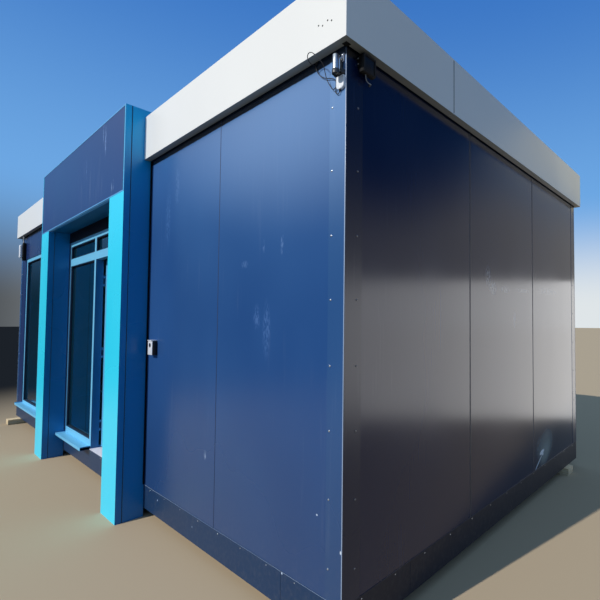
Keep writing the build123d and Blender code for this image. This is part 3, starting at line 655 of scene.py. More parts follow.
# Mouldings, seals and sheaths
WHITE_PLASTIC = Moulded("moulded_white_asa", "white_plastic", "#F3F6F8", 0.42, dusty="#B0B8BF")
READER_WHITE = Moulded("gloss_white_polycarbonate", "reader_plastic", "#E2E5E8", 0.2, dusty="#A9ADB0")
READER_BLACK = Moulded("gloss_black_polycarbonate", "reader_plastic", "#0C0D0F", 0.16, dusty="#2B2D30")
FLOOD_GLASS = Moulded("dusty_black_lamp_glass", "black_metal", "#07090C", 0.4, 1.3, dusty="#12161A")
LENS = Moulded("smoked_camera_window", "camera_metal", "#0B1410", 0.06, dusty="#1B2A22")
SHEATH = Moulded("black_cable_sheath", "cable_sheath", "#15181F", 0.5, dusty="#3B3F48")
PALE_SHEATH = Moulded("grey_lead_sheath", "cable_sheath", "#A9ADAE", 0.5, dusty="#7C7D7C")
GASKET = Moulded("epdm_glazing_gasket", "blue_frame", "#101214", 0.62, dusty="#3A3C3E")
# A black strip on the wall beside each portal column: painted shadow
SHADOW_STRIP = Moulded("black_compressed_foam_strip", "sky_blue_cladding", "#06080B", 0.9, 1.2, dusty="#0D1013")
BLUE_SEAL = Moulded("navy_joint_sealant", "navy_panel", "#12294F", 0.6, dusty="#24406C")
DARK_SEAL = Moulded("dark_joint_sealant", "navy_panel", "#0F1626", 0.6, dusty="#262C3A")
AGED_SEAL = Moulded("aged_grey_fascia_sealant", "white_fascia", "#2E3238", 0.6, dusty="#50565E")
# A grey strip beside the end wall joints: painted highlight on the sheet edge
JOINT_HIGHLIGHT = Moulded("grey_joint_edge", "navy_panel", "#6E6C70", 0.5, dusty="#8A878A")
SEAM_BLUE = Moulded("dark_blue_cladding_gasket", "sky_blue_cladding", "#02304F", 0.5, dusty="#10466A")

# Timber, roof and inside
TIMBER = SawnTimber("rough_sawn_softwood", "sawn_timber", "#E6D2A8")
ROOF = Membrane("weathered_roof_membrane", "roof_sheet", "#8E8F8D")
VINYL = Board("grey_sheet_vinyl", "floor_board", "#6C7073", 0.45, fleck="#52565A")
LINING = Board("vinyl_faced_lining_board", "navy_panel", "#B9BCBE", 0.55, fleck="#A7AAAC")


# Mesh helpers


class Shape:
    """A mesh that is being built, in metres, in the cabin's own frame."""

    def __init__(self) -> None:
        """Start with nothing."""
        self.mesh = bmesh.new()

    def slab(self, one: Corner, other: Corner, edge: float = 0.001, steps: int = 2) -> "Shape":
        """Add a block with rounded edges.

        Args:
            one: one of its corners.
            other: the opposite corner.
            edge: the edges' radius.
            steps: segments in each rounded edge.

        Returns:
            This shape.
        """
        low, high = (Vector([pick(pair) for pair in zip(one, other)]) for pick in (min, max))
        size = high - low
        turn = Matrix.Translation((high + low) / 2) @ Matrix.Diagonal((*size, 1.0))
        made = bmesh.ops.create_cube(self.mesh, size=1.0, matrix=turn)["verts"]
        return self.soften(made, min(edge, 0.4 * min(size)), steps)

    def soften(self, verts: Sequence[bmesh.types.BMVert], edge: float, steps: int) -> "Shape":
        """Round every edge between some points of the mesh.

        Args:
            verts: the points.
            edge: the edges' radius, or 0 to leave them sharp.
            steps: segments in each rounded edge.

        Returns:
            This shape.
        """
        edges = list({side for vert in verts for side in vert.link_edges})
        if edge > 0:
            bmesh.ops.bevel(self.mesh, geom=edges, offset=edge, segments=steps, affect="EDGES", profile=0.5)
        return self

    def prism(self, outline: Sequence[Corner], run: Corner, edge: float = 0.0, steps: int = 1) -> "Shape":
        """Add a straight bar.

        Args:
            outline: the corners of its flat end.
            run: the vector from that end to the other.
            edge: the edges' radius.
            steps: segments in each rounded edge.

        Returns:
            This shape.
        """
        near = [self.mesh.verts.new(corner) for corner in outline]
        far = [self.mesh.verts.new(Vector(corner) + Vector(run)) for corner in outline]
        self.mesh.faces.new(near)
        self.mesh.faces.new(far[::-1])
        for place, vert in enumerate(near):
            following = (place + 1) % len(near)
            self.mesh.faces.new((near[following], vert, far[place], far[following]))
        return self.soften(near + far, edge, steps)

    def turned(self, profile: Sequence[Pair], origin: Corner, axis: Corner, steps: int = 32) -> "Shape":
        """Add a round form, as from a lathe, closed at both ends.

        Args:
            profile: pairs of distance along the axis and radius, from end to end.
            origin: where the axis starts.
            axis: its direction.
            steps: sides round the form.

        Returns:
            This shape.
        """
        turn = Matrix.Translation(Vector(origin)) @ Vector(axis).to_track_quat("Z", "Y").to_matrix().to_4x4()
        closed = dict.fromkeys(((profile[0][0], 0.0), *profile, (profile[-1][0], 0.0)))
        rings = []
        for along, radius in closed:
            sides = steps if radius > 0 else 1
            angles = [math.tau * side / steps for side in range(sides)]
            spots = [Vector((radius * math.cos(angle), radius * math.sin(angle), along)) for angle in angles]
            rings.append([self.mesh.verts.new(turn @ spot) for spot in spots])
        for first, second in zip(rings, rings[1:]):
            for side in range(steps):
                following = (side + 1) % steps
                corners = [first[side % len(first)], first[following % len(first)]]
                corners += [second[following % len(second)], second[side % len(second)]]
                self.mesh.faces.new(list(dict.fromkeys(corners)))
        return self

    def surround(self, low: Corner, high: Corner, width: float, edge: float = 0.0008) -> "Shape":
        """Add a mitred frame of four bars round an opening in an upright wall.

        Args:
            low: the frame's lowest corner, outside.
            high: its highest corner, outside.
            width: the bars' width, measured inwards.
            edge: the edges' radius.

        Returns:
            This shape.
        """
        low, high = Vector(low), Vector(high)
        across = 0 if high.x - low.x > high.y - low.y else 1
        deep = 1 - across
        rings = []
        for inset in (0.0, width):
            left, right = low[across] + inset, high[across] - inset
            foot, head = low.z + inset, high.z - inset
            rings.append([(left, foot), (right, foot), (right, head), (left, head)])
        outer, inner = rings
        run = Vector((0.0, 0.0, 0.0))
        run[deep] = high[deep] - low[deep]
        for place in range(4):
            following = (place + 1) % 4
            outline = []
            for along, level in (outer[place], outer[following], inner[following], inner[place]):
                corner = Vector((0.0, 0.0, level))
                corner[across], corner[deep] = along, low[deep]
                outline.append(corner)
            self.prism(outline, run, edge, 1)
        return self

    def object(self, name: str) -> Object:
        """Close the mesh and put it in the scene as an object, with its faces turned outwards.

        Args:
            name: the object's name.

        Returns:
            The object.
        """
        bmesh.ops.recalc_face_normals(self.mesh, faces=self.mesh.faces[:])
        data = bpy.data.meshes.new(name)
        self.mesh.to_mesh(data)
        self.mesh.free()
        data.shade_smooth()
        data.set_sharp_from_angle(angle=SHARP_ANGLE)
        return in_scene(name, data)

    def piece(
        self, name: str, finish: Finish, body: str = "cabin", stands_for: Sequence[str] = ()
    ) -> None:
        """Hand the mesh over as one finished piece.

        Args:
            name: the piece's name.
            finish: what it is made of.
            body: the body that it moves with.
            stands_for: the model's nodes that it replaces.
        """
        made = self.object(name)
        made.data.materials.append(finish.material())
        settle(made, finish, body, stands_for)


def in_scene(name: str, data: bpy.types.ID) -> Object:
    """Put a mesh, curve, lamp or camera in the scene.

    Args:
        name: the object's name.
        data: what the object shows.

    Returns:
        The object.
    """
    made = bpy.data.objects.new(name, data)
    bpy.context.scene.collection.objects.link(made)
    return made


def settle(made: Object, finish: Finish, body: str = "cabin", stands_for: Sequence[str] = ()) -> None:
    """Tie a piece to its body, hide the model's nodes that it replaces, and report it.

    Args:
        made: the piece.
        finish: what it is made of.
        body: the body that it moves with.
        stands_for: the model's nodes that it replaces.
    """
    if stands_for:
        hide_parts(*stands_for)
    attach(made, body)
    log.info("%s: %s on %s", made.name, finish.name, body)


def coat(finish: Finish, *nodes: str) -> None:
    """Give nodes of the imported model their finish, on the objects' own slots.

    Args:
        finish: what they are made of.
        *nodes: the nodes' names.
    """
    for name in nodes:
        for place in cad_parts[name].material_slots:
            place.link = "OBJECT"
            place.material = finish.material()
        log.info("%s: %s", name, finish.name)


# Repeated pieces, placed by Geometry Nodes


class Head(Enum):
    """The kinds of small fixing, by the profile of the head: along and radius, in shares of its radius."""

    PAN_SCREW = ((-0.3, 1.0), (0.12, 1.0), (0.42, 0.84), (0.58, 0.48), (0.6, 0.32), (0.3, 0.24))
    BLIND_RIVET = ((-0.3, 1.0), (0.1, 1.0), (0.3, 0.8), (0.38, 0.42), (0.24, 0.3))
    CAP_SCREW = ((-0.3, 1.0), (0.6, 1.0), (0.75, 0.86), (0.75, 0.45), (0.35, 0.4))


class Repeater(Graph):
    """Places copies of one pattern piece on points, each turned to face outwards."""

    def __init__(self) -> None:
        """Build the node tree, with its named inputs."""
        super().__init__(bpy.data.node_groups.new("place_repeats", "GeometryNodeTree"))
        face = self.tree.interface
        face.new_socket("Geometry", in_out="OUTPUT", socket_type="NodeSocketGeometry")
        names = "Seats", "Pattern", "Size", "Turn", "Seed", "Finish"
        kinds = "Geometry", "Object", "Float", "Float", "Int", "Material"
        sockets = (face.new_socket(name, socket_type=f"NodeSocket{kind}") for name, kind in zip(names, kinds))
        self.inputs = dict(zip(names, sockets))
        given = self.add("NodeGroupInput", out=None).outputs
        pattern = self.add("GeometryNodeObjectInfo", {"Object": given["Pattern"]}, "Geometry")
        facing = self.add("GeometryNodeInputNamedAttribute", {"Name": "facing"}, data_type="FLOAT_VECTOR")
        aligned = self.add("FunctionNodeAlignRotationToVector", {"Vector": facing}, axis="Z")
        spin = self.add(
            "FunctionNodeRandomValue", {2: 0.0, 3: given["Turn"], "Seed": given["Seed"]}, 1, data_type="FLOAT"
        )
        swing = self.add("ShaderNodeCombineXYZ", {2: spin})
        turned = self.add(
            "FunctionNodeRotateRotation", {"Rotation": aligned, "Rotate By": swing}, rotation_space="LOCAL"
        )
        placed = self.add(
            "GeometryNodeInstanceOnPoints",
            {"Points": given["Seats"], "Instance": pattern, "Rotation": turned, "Scale": given["Size"]},
        )
        solid = self.add("GeometryNodeRealizeInstances", {0: placed})
        painted = self.add("GeometryNodeSetMaterial", {"Geometry": solid, "Material": given["Finish"]})
        self.add("NodeGroupOutput", {0: painted}, out=None)

    def place(
        self, name: str, pattern: Shape, seats: Sequence[Seat], finish: Finish, turn: float = 0.0,
        seed: int = 1,
    ) -> None:
        """Place copies of a pattern and turn them into one plain mesh.

        Args:
            name: the piece's name.
            pattern: the shape that is copied, standing on the origin and facing up.
            seats: pairs of a point and the direction that the copy faces.
            finish: what the copies are made of.
            turn: the most that a copy is turned about its own axis, in radians.
            seed: the seed of those turns.
        """
        model = pattern.object(f"{name}_pattern")
        data = bpy.data.meshes.new(name)
        data.from_pydata([tuple(point) for point, _ in seats], [], [])
        facing = data.attributes.new("facing", "FLOAT_VECTOR", "POINT")
        for place, (_, direction) in enumerate(seats):
            facing.data[place].vector = Vector(direction)
        made = in_scene(name, data)
        modifier = made.modifiers.new("repeats", "NODES")
        modifier.node_group = self.tree
        values = {"Pattern": model, "Size": 1.0, "Turn": turn, "Seed": seed, "Finish": finish.material()}
        for key, value in values.items():
            modifier[self.inputs[key].identifier] = value
        bpy.context.view_layer.update()
        ready = made.evaluated_get(bpy.context.evaluated_depsgraph_get())
        plain = bpy.data.meshes.new_from_object(ready)
        made.modifiers.remove(modifier)
        made.data = plain
        plain.set_sharp_from_angle(angle=SHARP_ANGLE)
        bpy.data.objects.remove(model)
        settle(made, finish)

    def fixings(self, name: str, head: Head, radius: float, seats: Sequence[Seat], finish: Finish) -> None:
        """Place screws or rivets, each turned by chance.

        Args:
            name: the piece's name, whose length is the seed of the turns.
            head: the kind of fixing.
            radius: the head's radius.
            seats: pairs of a point and the direction that the head faces.
            finish: what the fixings are made of.
        """
        profile = [(along * radius, wide * radius) for along, wide in head.value]
        pattern = Shape().turned(profile, (0, 0, 0), (0, 0, 1), steps=12)
        self.place(name, pattern, seats, finish, turn=math.tau, seed=len(name))


# The cabin's planes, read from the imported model


class Planes:
    """The planes that the pieces are set out from, in metres."""

    def __init__(self) -> None:
        """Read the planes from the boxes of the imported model's nodes."""
        (self.left, self.front, self.base_low), (self.right, self.rear, self.base_top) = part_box("base_rails")
        low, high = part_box("right_fascia")
        self.fascia_low, self.fascia_top = low.z, high.z
        self.wall_top, self.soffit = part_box("roof_deck")[0].z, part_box("portal_soffit")[0].z
        low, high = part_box("portal_left_column")
        self.portal_left, self.bay_left = low.x, high.x
        low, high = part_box("portal_right_column")
        self.bay_right, self.portal_right = low.x, high.x
        self.portal_front, self.portal_head = low.y, high.z

    @property
    def ends(self) -> tuple[tuple[int, float], ...]:
        """Give the end walls, each as the way that it looks along X and its face."""
        return (1, self.right), (-1, self.left)

    @property
    def edge_corner(self) -> Vector:
        """Give the near corner of the walls, at the roof edge's lower side."""
        return Vector((self.right, self.front, self.fascia_low))

    @property
    def long_sides(self) -> tuple[tuple[int, float], ...]:
        """Give the long walls, each as the way inwards along Y and its face."""
        return (1, self.front), (-1, self.rear)


# Camera, light and cables


@dataclass(frozen=True)
class Viewpoint:
    """The place and aim of the camera that took the view, from a fit to the cabin's own edges."""

    place: Point = (5.255, -3.0965, 1.591)
    yaw: float = 39.172
    pitch: float = 2.04
    roll: float = -0.251
    lens: float = 25.07
    sensor: float = 36.0
    shift: Pair = (-0.1647, 0.0127)
    clip: Pair = (0.05, 500.0)

    def build(self) -> None:
        """Make the camera."""
        yaw, pitch, roll = (math.radians(angle) for angle in (self.yaw, self.pitch, self.roll))
        level = math.cos(pitch)
        ahead = Vector((-math.sin(yaw) * level, math.cos(yaw) * level, math.sin(pitch)))
        side = Vector((math.cos(yaw), math.sin(yaw), 0.0))
        down = ahead.cross(side)
        right = side * math.cos(roll) + down * math.sin(roll)
        up = side * math.sin(roll) - down * math.cos(roll)
        data = bpy.data.cameras.new("viewpoint")
        data.lens, data.sensor_width = self.lens, self.sensor
        data.shift_x, data.shift_y = self.shift
        data.clip_start, data.clip_end = self.clip
        camera = in_scene("viewpoint", data)
        turn = Matrix((right, up, -ahead)).transposed().to_4x4()
        camera.matrix_world = Matrix.Translation(self.place) @ turn
        bpy.context.scene.camera = camera
        log.info("camera at %s", self.place)


@dataclass(frozen=True)
class Card:
    """A pale card that only glossy surfaces show."""

    name: str
    place: Point
    facing: Point
    size: Pair
    radiance: float
    colour: str = "#FFFFFF"
    turn: float = 0.0

    def build(self) -> None:
        """Hang the card up."""
        lamp = bpy.data.lights.new(self.name, "AREA")
        lamp.shape = "RECTANGLE"
        lamp.size, lamp.size_y = self.size
        lamp.color = to_linear(self.colour)[:3]
        lamp.energy = self.radiance * math.pi * self.size[0] * self.size[1]
        card = in_scene(self.name, lamp)
        card.location = self.place
        aimed = (-Vector(self.facing)).to_track_quat("Z", "Y")
        card.rotation_euler = (aimed @ Quaternion((0, 0, 1), math.radians(self.turn))).to_euler()
        card.visible_camera = card.visible_diffuse = False


@dataclass(frozen=True)
class Studio:
    """A plain yard without things in it: pale floor, graded sky, low sun, and two cards far right.

    The cards stand for the pale walls that the end wall and the roof edge mirror.
    A layer of the sky has its colour, the direction that it lies in, and how far along
    that direction it comes up from none to full.
    """

    towards_lamp: Point = (-0.195, -1.0, 0.68)
    lamp_strength: float = 3.1
    lamp_colour: str = "#FFFBF6"
    lamp_angle: float = 0.7
    fill_colour: str = "#7C9EC8"
    fill_strength: float = 0.86
    shaded_horizon: str = "#1A232C"
    # The sunlit horizon, the low and the high sky, the haze and the deep blue that the end wall mirrors
    sky_layers: tuple[tuple[str, Point, float, float], ...] = (
        ("#DFE5E8", (0.3, 0.95, 0.0), -0.35, 0.45),
        ("#6FA9E4", (0.0, 0.0, 1.0), 0.03, 0.28),
        ("#3672C2", (0.0, 0.0, 1.0), 0.2, 0.7),
        ("#BCBAB6", (0.70, 0.70, -0.75), 0.54, 0.74),
        ("#123868", (0.573, 0.669, 0.476), 0.95, 0.992),
    )
    glow: str = "#E4F3FF"
    glow_levels: Pair = (0.50, 0.76)
    glow_heights: Pair = (0.20, 0.36)
    floor_shown: str = "#C2AE90"
    floor_bounce: str = "#7E7A73"
    floor_far: str = "#222528"
    far_way: Point = (-0.9, -0.45, 0.0)
    far_levels: Pair = (2.5, 8.5)
    floor_reach: float = 150.0
    cards: tuple[Card, ...] = (
        Card("white_card", (5.97, 2.78, 1.16), (-0.6316, -0.7753, 0.0), (5.4, 2.24), 1.9),
        Card("cream_card", (4.10, 2.60, 3.746), (0.0, -1.0, 0.0), (1.83, 0.80), 1.0, "#FFDF66", turn=-45.0),
    )

    def build(self) -> None:
        """Make the floor, the lamps and the world."""
        bpy.context.scene.view_settings.view_transform = "Standard"
        sun = bpy.data.lights.new("main_lamp", "SUN")
        sun.energy = self.lamp_strength
        sun.color = to_linear(self.lamp_colour)[:3]
        sun.angle = math.radians(self.lamp_angle)
        lamp = in_scene("main_lamp", sun)
        lamp.rotation_euler = Vector(self.towards_lamp).to_track_quat("Z", "Y").to_euler()
        for card in self.cards:
            card.build()
        self.build_world()
        self.build_floor()
        log.info("studio: floor, lamps and sky")

    def build_world(self) -> None:
        """Grade the sky by height, with its shaded side to the front left; plain light gets an even fill."""
        world = bpy.data.worlds.new("graded_sky")
        bpy.context.scene.world = world
        world.use_nodes = True
        world.node_tree.nodes.clear()
        sky = Mix(world.node_tree, self.shaded_horizon)
        aim = sky.add("ShaderNodeTexCoord", out="Generated")
        for colour, way, low, high in self.sky_layers:
            sky.tint(colour, 1.0, sky.ease(sky.along(aim, way), low, high))
        sunny = sky.ease(sky.along(aim, Vector(self.towards_lamp).normalized()), *self.glow_levels)
        sky.tint(self.glow, 1.0, sunny, sky.ease(sky.along(aim, (0.0, 0.0, 1.0)), *self.glow_heights))
        fill = sky.add("ShaderNodeBackground", {0: self.fill_colour, 1: self.fill_strength})
        shown = sky.add("ShaderNodeBackground", {0: sky.colour, 1: 1.0})
        mixed = sky.add("ShaderNodeMixShader", {0: sky.seen(), 1: fill, 2: shown})
        sky.add("ShaderNodeOutputWorld", {0: mixed}, out=None)

    def build_floor(self) -> None:
        """Lay the floor, which looks paler than the light that it throws back."""
        reach = self.floor_reach
        corners = [(-reach, -reach, 0), (reach, -reach, 0), (reach, reach, 0), (-reach, reach, 0)]
        mesh = bpy.data.meshes.new("floor")
        mesh.from_pydata(corners, [], [(0, 1, 2, 3)])
        recipe = Recipe("pale_floor", self.floor_bounce)
        away = recipe.along(recipe.place, self.far_way)
        seen = recipe.seen()
        recipe.tint(self.floor_shown, 1.0, seen)
        recipe.tint(self.floor_far, 1.0, seen, recipe.ease(away, *self.far_levels))
        recipe.finish(0.9, Specular_IOR_Level=0.0)
        mesh.materials.append(recipe.material)
        in_scene("floor", mesh)


@dataclass(frozen=True)
class Cable:
    """A thin round cable that hangs free between two parts of the cabin.

    The route's points are offsets in millimetres from the near corner of the walls
    under the roof edge, and are the points of the model's own cable.
    """

    name: str
    node: str
    finish: Finish
    length: float
    route: tuple[Point, ...]
    diameter: float = 0.004

    def build(self, planes: Planes) -> None:
        """Make the cable as a smooth curve.

        Args:
            planes: the cabin's planes.
        """
        corner = planes.edge_corner
        points = [corner + Vector([away * MILLIMETRE for away in offset]) for offset in self.route]
        data = bpy.data.curves.new(self.name, "CURVE")
        data.dimensions = "3D"
        data.bevel_depth = self.diameter / 2
        data.bevel_resolution = 3
        data.resolution_u = 10
        data.use_fill_caps = True
        spline = data.splines.new("NURBS")
        spline.points.add(len(points) - 1)
        for target, point in zip(spline.points, points):
            target.co = (*point, 1.0)
        spline.order_u = 3
        spline.use_endpoint_u = True
        data.materials.append(self.finish.material())
        made = in_scene(self.name, data)
        settle(made, self.finish, stands_for=[self.node])


CABLES = (
    Cable("camera_cable_run", "camera_cable", SHEATH, 0.46, (
        (-210, -5.5, 23), (-210, -5.5, -3), (-211, -13, -17), (-212, -29, -26), (-214, -46, -25),
        (-214, -60, -18), (-211, -70, -6), (-201, -76, 3), (-186, -78, 6), (-168, -77, 0),
        (-149, -71, -17), (-134, -61, -40), (-122, -48, -56), (-120, -37, -75), (-124, -28, -97),
        (-120, -21, -126), (-108, -16, -155), (-94, -14, -176), (-85, -14, -188),
        (-77, -14.5, -193.5), (-68, -14.5, -194), (-61, -13.5, -188.5), (-59, -11, -180),
        (-58.5, -8.5, -170), (-59.5, -7, -157), (-59.5, -7, -138),
    )),
    Cable("supply_cable_run", "supply_cable", SHEATH, 0.3615, (
        (-224, -5.5, 23), (-224, -5.5, -4), (-223, -7.5, -20), (-211, -9, -47), (-188, -10, -78),
        (-158, -10, -102), (-127, -10, -117), (-98, -10, -127), (-79, -9, -137), (-69, -8, -144),
        (-65, -7, -154), (-65.5, -7, -170), (-67, -7, -188), (-67, -7.5, -203), (-64, -8, -213),
        (-57.5, -8.5, -220.5), (-49, -9, -223.5), (-41, -9, -221), (-36, -9, -213.5), (-36, -9, -205),
    )),
    Cable("floodlight_lead_run", "floodlight_lead", PALE_SHEATH, 0.091, (
        (32, 102, -105), (32, 102, -118), (31, 107, -128), (26, 121, -134), (22, 138, -131),
        (19, 153, -126), (14, 162, -123), (5, 162, -123),
    )),
)


# Sub-assemblies


@dataclass
class Assembly:
    """A group of the cabin's pieces, set out from its planes."""

    planes: Planes
    repeater: Repeater

    def build(self) -> None:
        """Build and dress the group; each has its own way."""
        raise NotImplementedError


@dataclass
class Walls(Assembly):
    """The flat wall panels with their joints, corner trims, skirt plates and inside linings."""

    wall: float = 0.1
    under_edge: float = 0.004
    joint: float = 0.003
    bead_height: float = 0.0012
    seal_depth: float = 0.02
    front_lap: float = 0.002
    rear_lap: float = 0.003
    end_lap: float = 0.004
    grey_edge: Pair = (0.0065, 0.0035)
    rear_panels: int = 6
    trim_sheet: float = 0.002
    bend_in: float = 0.0035
    bend_out: float = 0.003
    screw_radius: float = 0.0055
    screw_levels: tuple[float, ...] = (0.410, 0.737, 1.064, 1.378, 1.700, 2.016, 2.339, 2.657)
    front_screw: float = 0.095
    end_screw: float = 0.080
    plate_sheet: float = 0.0015
    plate_gap: float = 0.0015
    plate_lift: float = 0.001
    front_butt: float = 0.471
    end_butt: float = 0.52
    rear_plates: int = 3
    rivet_pitch: float = 0.28
    rivet_drop: float = 0.016
    rivet_radius: float = 0.0032
    worn_edge: Pair = (-0.0005, 0.0022)
    worn_proud: float = 0.0009
    lining: float = 0.006
    ceiling_setback: float = 0.07
    entrance_reveal: float = 0.08
    vinyl: float = 0.002
    skirting: float = 0.012
    skirting_height: float = 0.09
    skirting_gap: float = 0.01

    def build(self) -> None:
        """Build and dress the walls."""
        coat(
            NAVY_PANEL, "front_wall_panel_1", "front_wall_panel_2", "front_wall_panel_3",
            "front_wall_under_window",
        )
        coat(FAR_SHADED_PANEL, "front_wall_panel_4", "front_wall_over_window")
        coat(
            SHADED_PANEL, "right_wall_panel_1", "right_wall_panel_2", "right_wall_panel_3",
            "left_wall_panels", "rear_wall_panels",
        )
        coat(SHELTERED_PANEL, "front_wall_over_entrance")
        coat(NAVY_TRIM, "corner_trims")
        coat(BASE_COAT, "base_rails", "floor_joists")
        coat(VINYL, "floor_deck")
        self.seal_joints()
        self.bend_trims()
        self.screw_trims()
        self.plate_skirt()
        self.line_inside()

    def seal_joints(self) -> None:
        """Fill the gaps between the panels with sealant, beside a grey strip on the end walls that is a
        painted highlight on the sheet edge.
        """
        planes, half, proud, depth = self.planes, self.joint / 2, self.bead_height, self.seal_depth
        low, high = planes.base_top, planes.fascia_low - self.under_edge
        blue, grey, dark = Shape(), Shape(), Shape()
        middle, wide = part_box("front_wall_panel_1")[0].x - half, half + self.front_lap
        face = planes.front
        blue.slab((middle - wide, face - proud / 2, low), (middle + wide, face + depth, high), edge=0.0005)
        start, stop = (half + away for away in self.grey_edge)
        for side, wall in planes.ends:
            inner, outer = wall - side * depth, wall + side * proud
            for node in ("right_wall_panel_1", "right_wall_panel_2"):
                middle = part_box(node)[1].y + half
                grey.slab((inner, middle - start, low), (outer, middle - stop, high), edge=0.0006)
                dark.slab(
                    (inner, middle - stop, low), (outer, middle + half + self.end_lap, high), edge=0.0006
                )
        pitch, wide = (planes.right - planes.left) / self.rear_panels, half + self.rear_lap
        face = planes.rear
        for place in range(1, self.rear_panels):
            middle = planes.left + place * pitch
            dark.slab((middle - wide, face - depth, low), (middle + wide, face + proud, high), edge=0.0006)
        blue.piece("front_joint_seal", BLUE_SEAL)
        grey.piece("end_joint_edges", JOINT_HIGHLIGHT)
        dark.piece("dark_joint_seals", DARK_SEAL)

    def bend_trims(self) -> None:
        """Round the corner trims' bends, pale on the front as a painted highlight, with painted shade on the
        faces turned away from the front.
        """
        planes, bends = self.planes, Shape()
        low, high = planes.base_top, planes.fascia_low - self.under_edge
        inner, outer = self.bend_in, self.bend_out
        for side, across in planes.ends:
            for near, wall in planes.long_sides:
                corner = (across - side * inner, wall + near * inner, low)
                bends.slab(corner, (across + side * outer, wall - near * outer, high), edge=0.0015)
        bends.piece("corner_trim_bends", TRIM_BEND)

    def screw_trims(self) -> None:
        """Put the screws in both legs of the four corner trims."""
        planes, out = self.planes, self.trim_sheet
        seats, end_seats = [], []
        for level in self.screw_levels:
            for side, face in planes.ends:
                for near, wall in planes.long_sides:
                    seats.append(((face - side * self.front_screw, wall - near * out, level), (0, -near, 0)))
                    end_seats.append(((face + side * out, wall + near * self.end_screw, level), (side, 0, 0)))
        self.repeater.fixings("trim_screws", Head.PAN_SCREW, self.screw_radius, seats, FIXING)
        self.repeater.fixings("end_trim_screws", Head.PAN_SCREW, self.screw_radius, end_seats, DULL_FIXING)

    def skirt_runs(self) -> list[tuple[Pair, Pair, Point]]:
        """Set out the skirt's plates in plan.

        Returns:
            Each plate's lowest and highest corner in plan, and the way that it faces.
        """
        planes, sheet, gap = self.planes, self.plate_sheet, self.plate_gap / 2
        front_butt, end_butt = planes.right - self.front_butt, planes.front + self.end_butt
        runs = [
            ((start + gap, planes.front - sheet), (end - gap, planes.front), (0, -1, 0))
            for start, end in (
                (planes.left - sheet, planes.portal_left),
                (planes.bay_left, planes.bay_right),
                (planes.portal_right, front_butt),
                (front_butt, planes.right + sheet),
            )
        ]
        length = (planes.right - planes.left) / self.rear_plates
        for place in range(self.rear_plates):
            start = planes.left + place * length
            runs.append(((start + gap, planes.rear), (start + length - gap, planes.rear + sheet), (0, 1, 0)))
        for side, face in planes.ends:
            inner, outer = sorted((face, face + side * sheet))
            for start, end in ((planes.front, end_butt), (end_butt, planes.rear)):
                runs.append(((inner, start + gap), (outer, end - gap), (side, 0, 0)))
        return runs

    def plate_skirt(self) -> None:
        """Cover the base rails with thin plates, butted end to end, with rivets under the top edge."""
        low, high = self.planes.base_low + self.plate_lift, self.planes.base_top - self.plate_sheet
        # The pale strip along each plate's top edge is a painted highlight
        edge_low, edge_high = (high + away for away in self.worn_edge)
        plates, edge_highlights, seats = Shape(), Shape(), []
        for start, end, facing in self.skirt_runs():
            plates.slab((*start, low), (*end, high), edge=0.0005, steps=1)
            count = max(2, round(max(end[0] - start[0], end[1] - start[1]) / self.rivet_pitch))
            for place in range(count):
                share = (place + 0.5) / count
                spot = [start[axis] + (end[axis] - start[axis]) * share for axis in (0, 1)]
                axis = 0 if facing[0] else 1
                spot[axis] = end[axis] if facing[axis] > 0 else start[axis]
                seats.append(((*spot, high - self.rivet_drop), facing))
            out = [side * self.worn_proud for side in facing]
            edge_highlights.slab(
                (start[0] + min(out[0], 0), start[1] + min(out[1], 0), edge_low),
                (end[0] + max(out[0], 0), end[1] + max(out[1], 0), edge_high), edge=0.0004, steps=1,
            )
        plates.piece("skirt_plates", BASE_COAT)
        edge_highlights.piece("skirt_worn_edges", EDGE_HIGHLIGHT)
        self.repeater.fixings("skirt_rivets", Head.BLIND_RIVET, self.rivet_radius, seats, FIXING)

    def line_inside(self) -> None:
        """Line the room: boards on the walls and ceiling, vinyl on the floor, skirting at its edge."""
        planes, sheet, thick = self.planes, self.lining, self.skirting
        left, right = planes.left + self.wall, planes.right - self.wall
        front, rear = planes.front + self.wall, planes.rear - self.wall
        floor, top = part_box("floor_deck")[1].z, planes.wall_top
        window_low, window_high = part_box("window_frame")
        reveal = planes.bay_right + self.entrance_reveal
        boards = Shape()
        for low, high in (
            ((left, rear - sheet, floor), (right, rear, top)),
            ((left, front, floor), (left + sheet, rear - sheet, top)),
            ((right - sheet, front, floor), (right, rear - sheet, top)),
            ((left + sheet, front + self.ceiling_setback, top - sheet), (right - sheet, rear - sheet, top)),
            ((left + sheet, front, floor), (window_low.x, front + sheet, top - sheet)),
            ((window_high.x, front, floor), (planes.bay_left, front + sheet, top - sheet)),
            ((reveal, front, floor), (right - sheet, front + sheet, top - sheet)),
        ):
            boards.slab(low, high, edge=0.0)
        boards.piece("lining_boards", LINING)
        foot, head = floor + self.vinyl, floor + self.skirting_height
        back = rear - sheet
        skirting = Shape()
        skirting.slab((left + sheet, back - thick, foot), (right - sheet, back, head), edge=0.003)
        start = front + self.skirting_gap
        for side, face in ((1, left + sheet), (-1, right - sheet)):
            skirting.slab((face, start, foot), (face + side * thick, back - thick, head), edge=0.003)
        skirting.piece("inside_skirting", WHITE_PLASTIC)
        vinyl = Shape().slab((left, front, floor), (right, rear, foot), edge=0.0005, steps=1)
        vinyl.piece("floor_vinyl", VINYL)


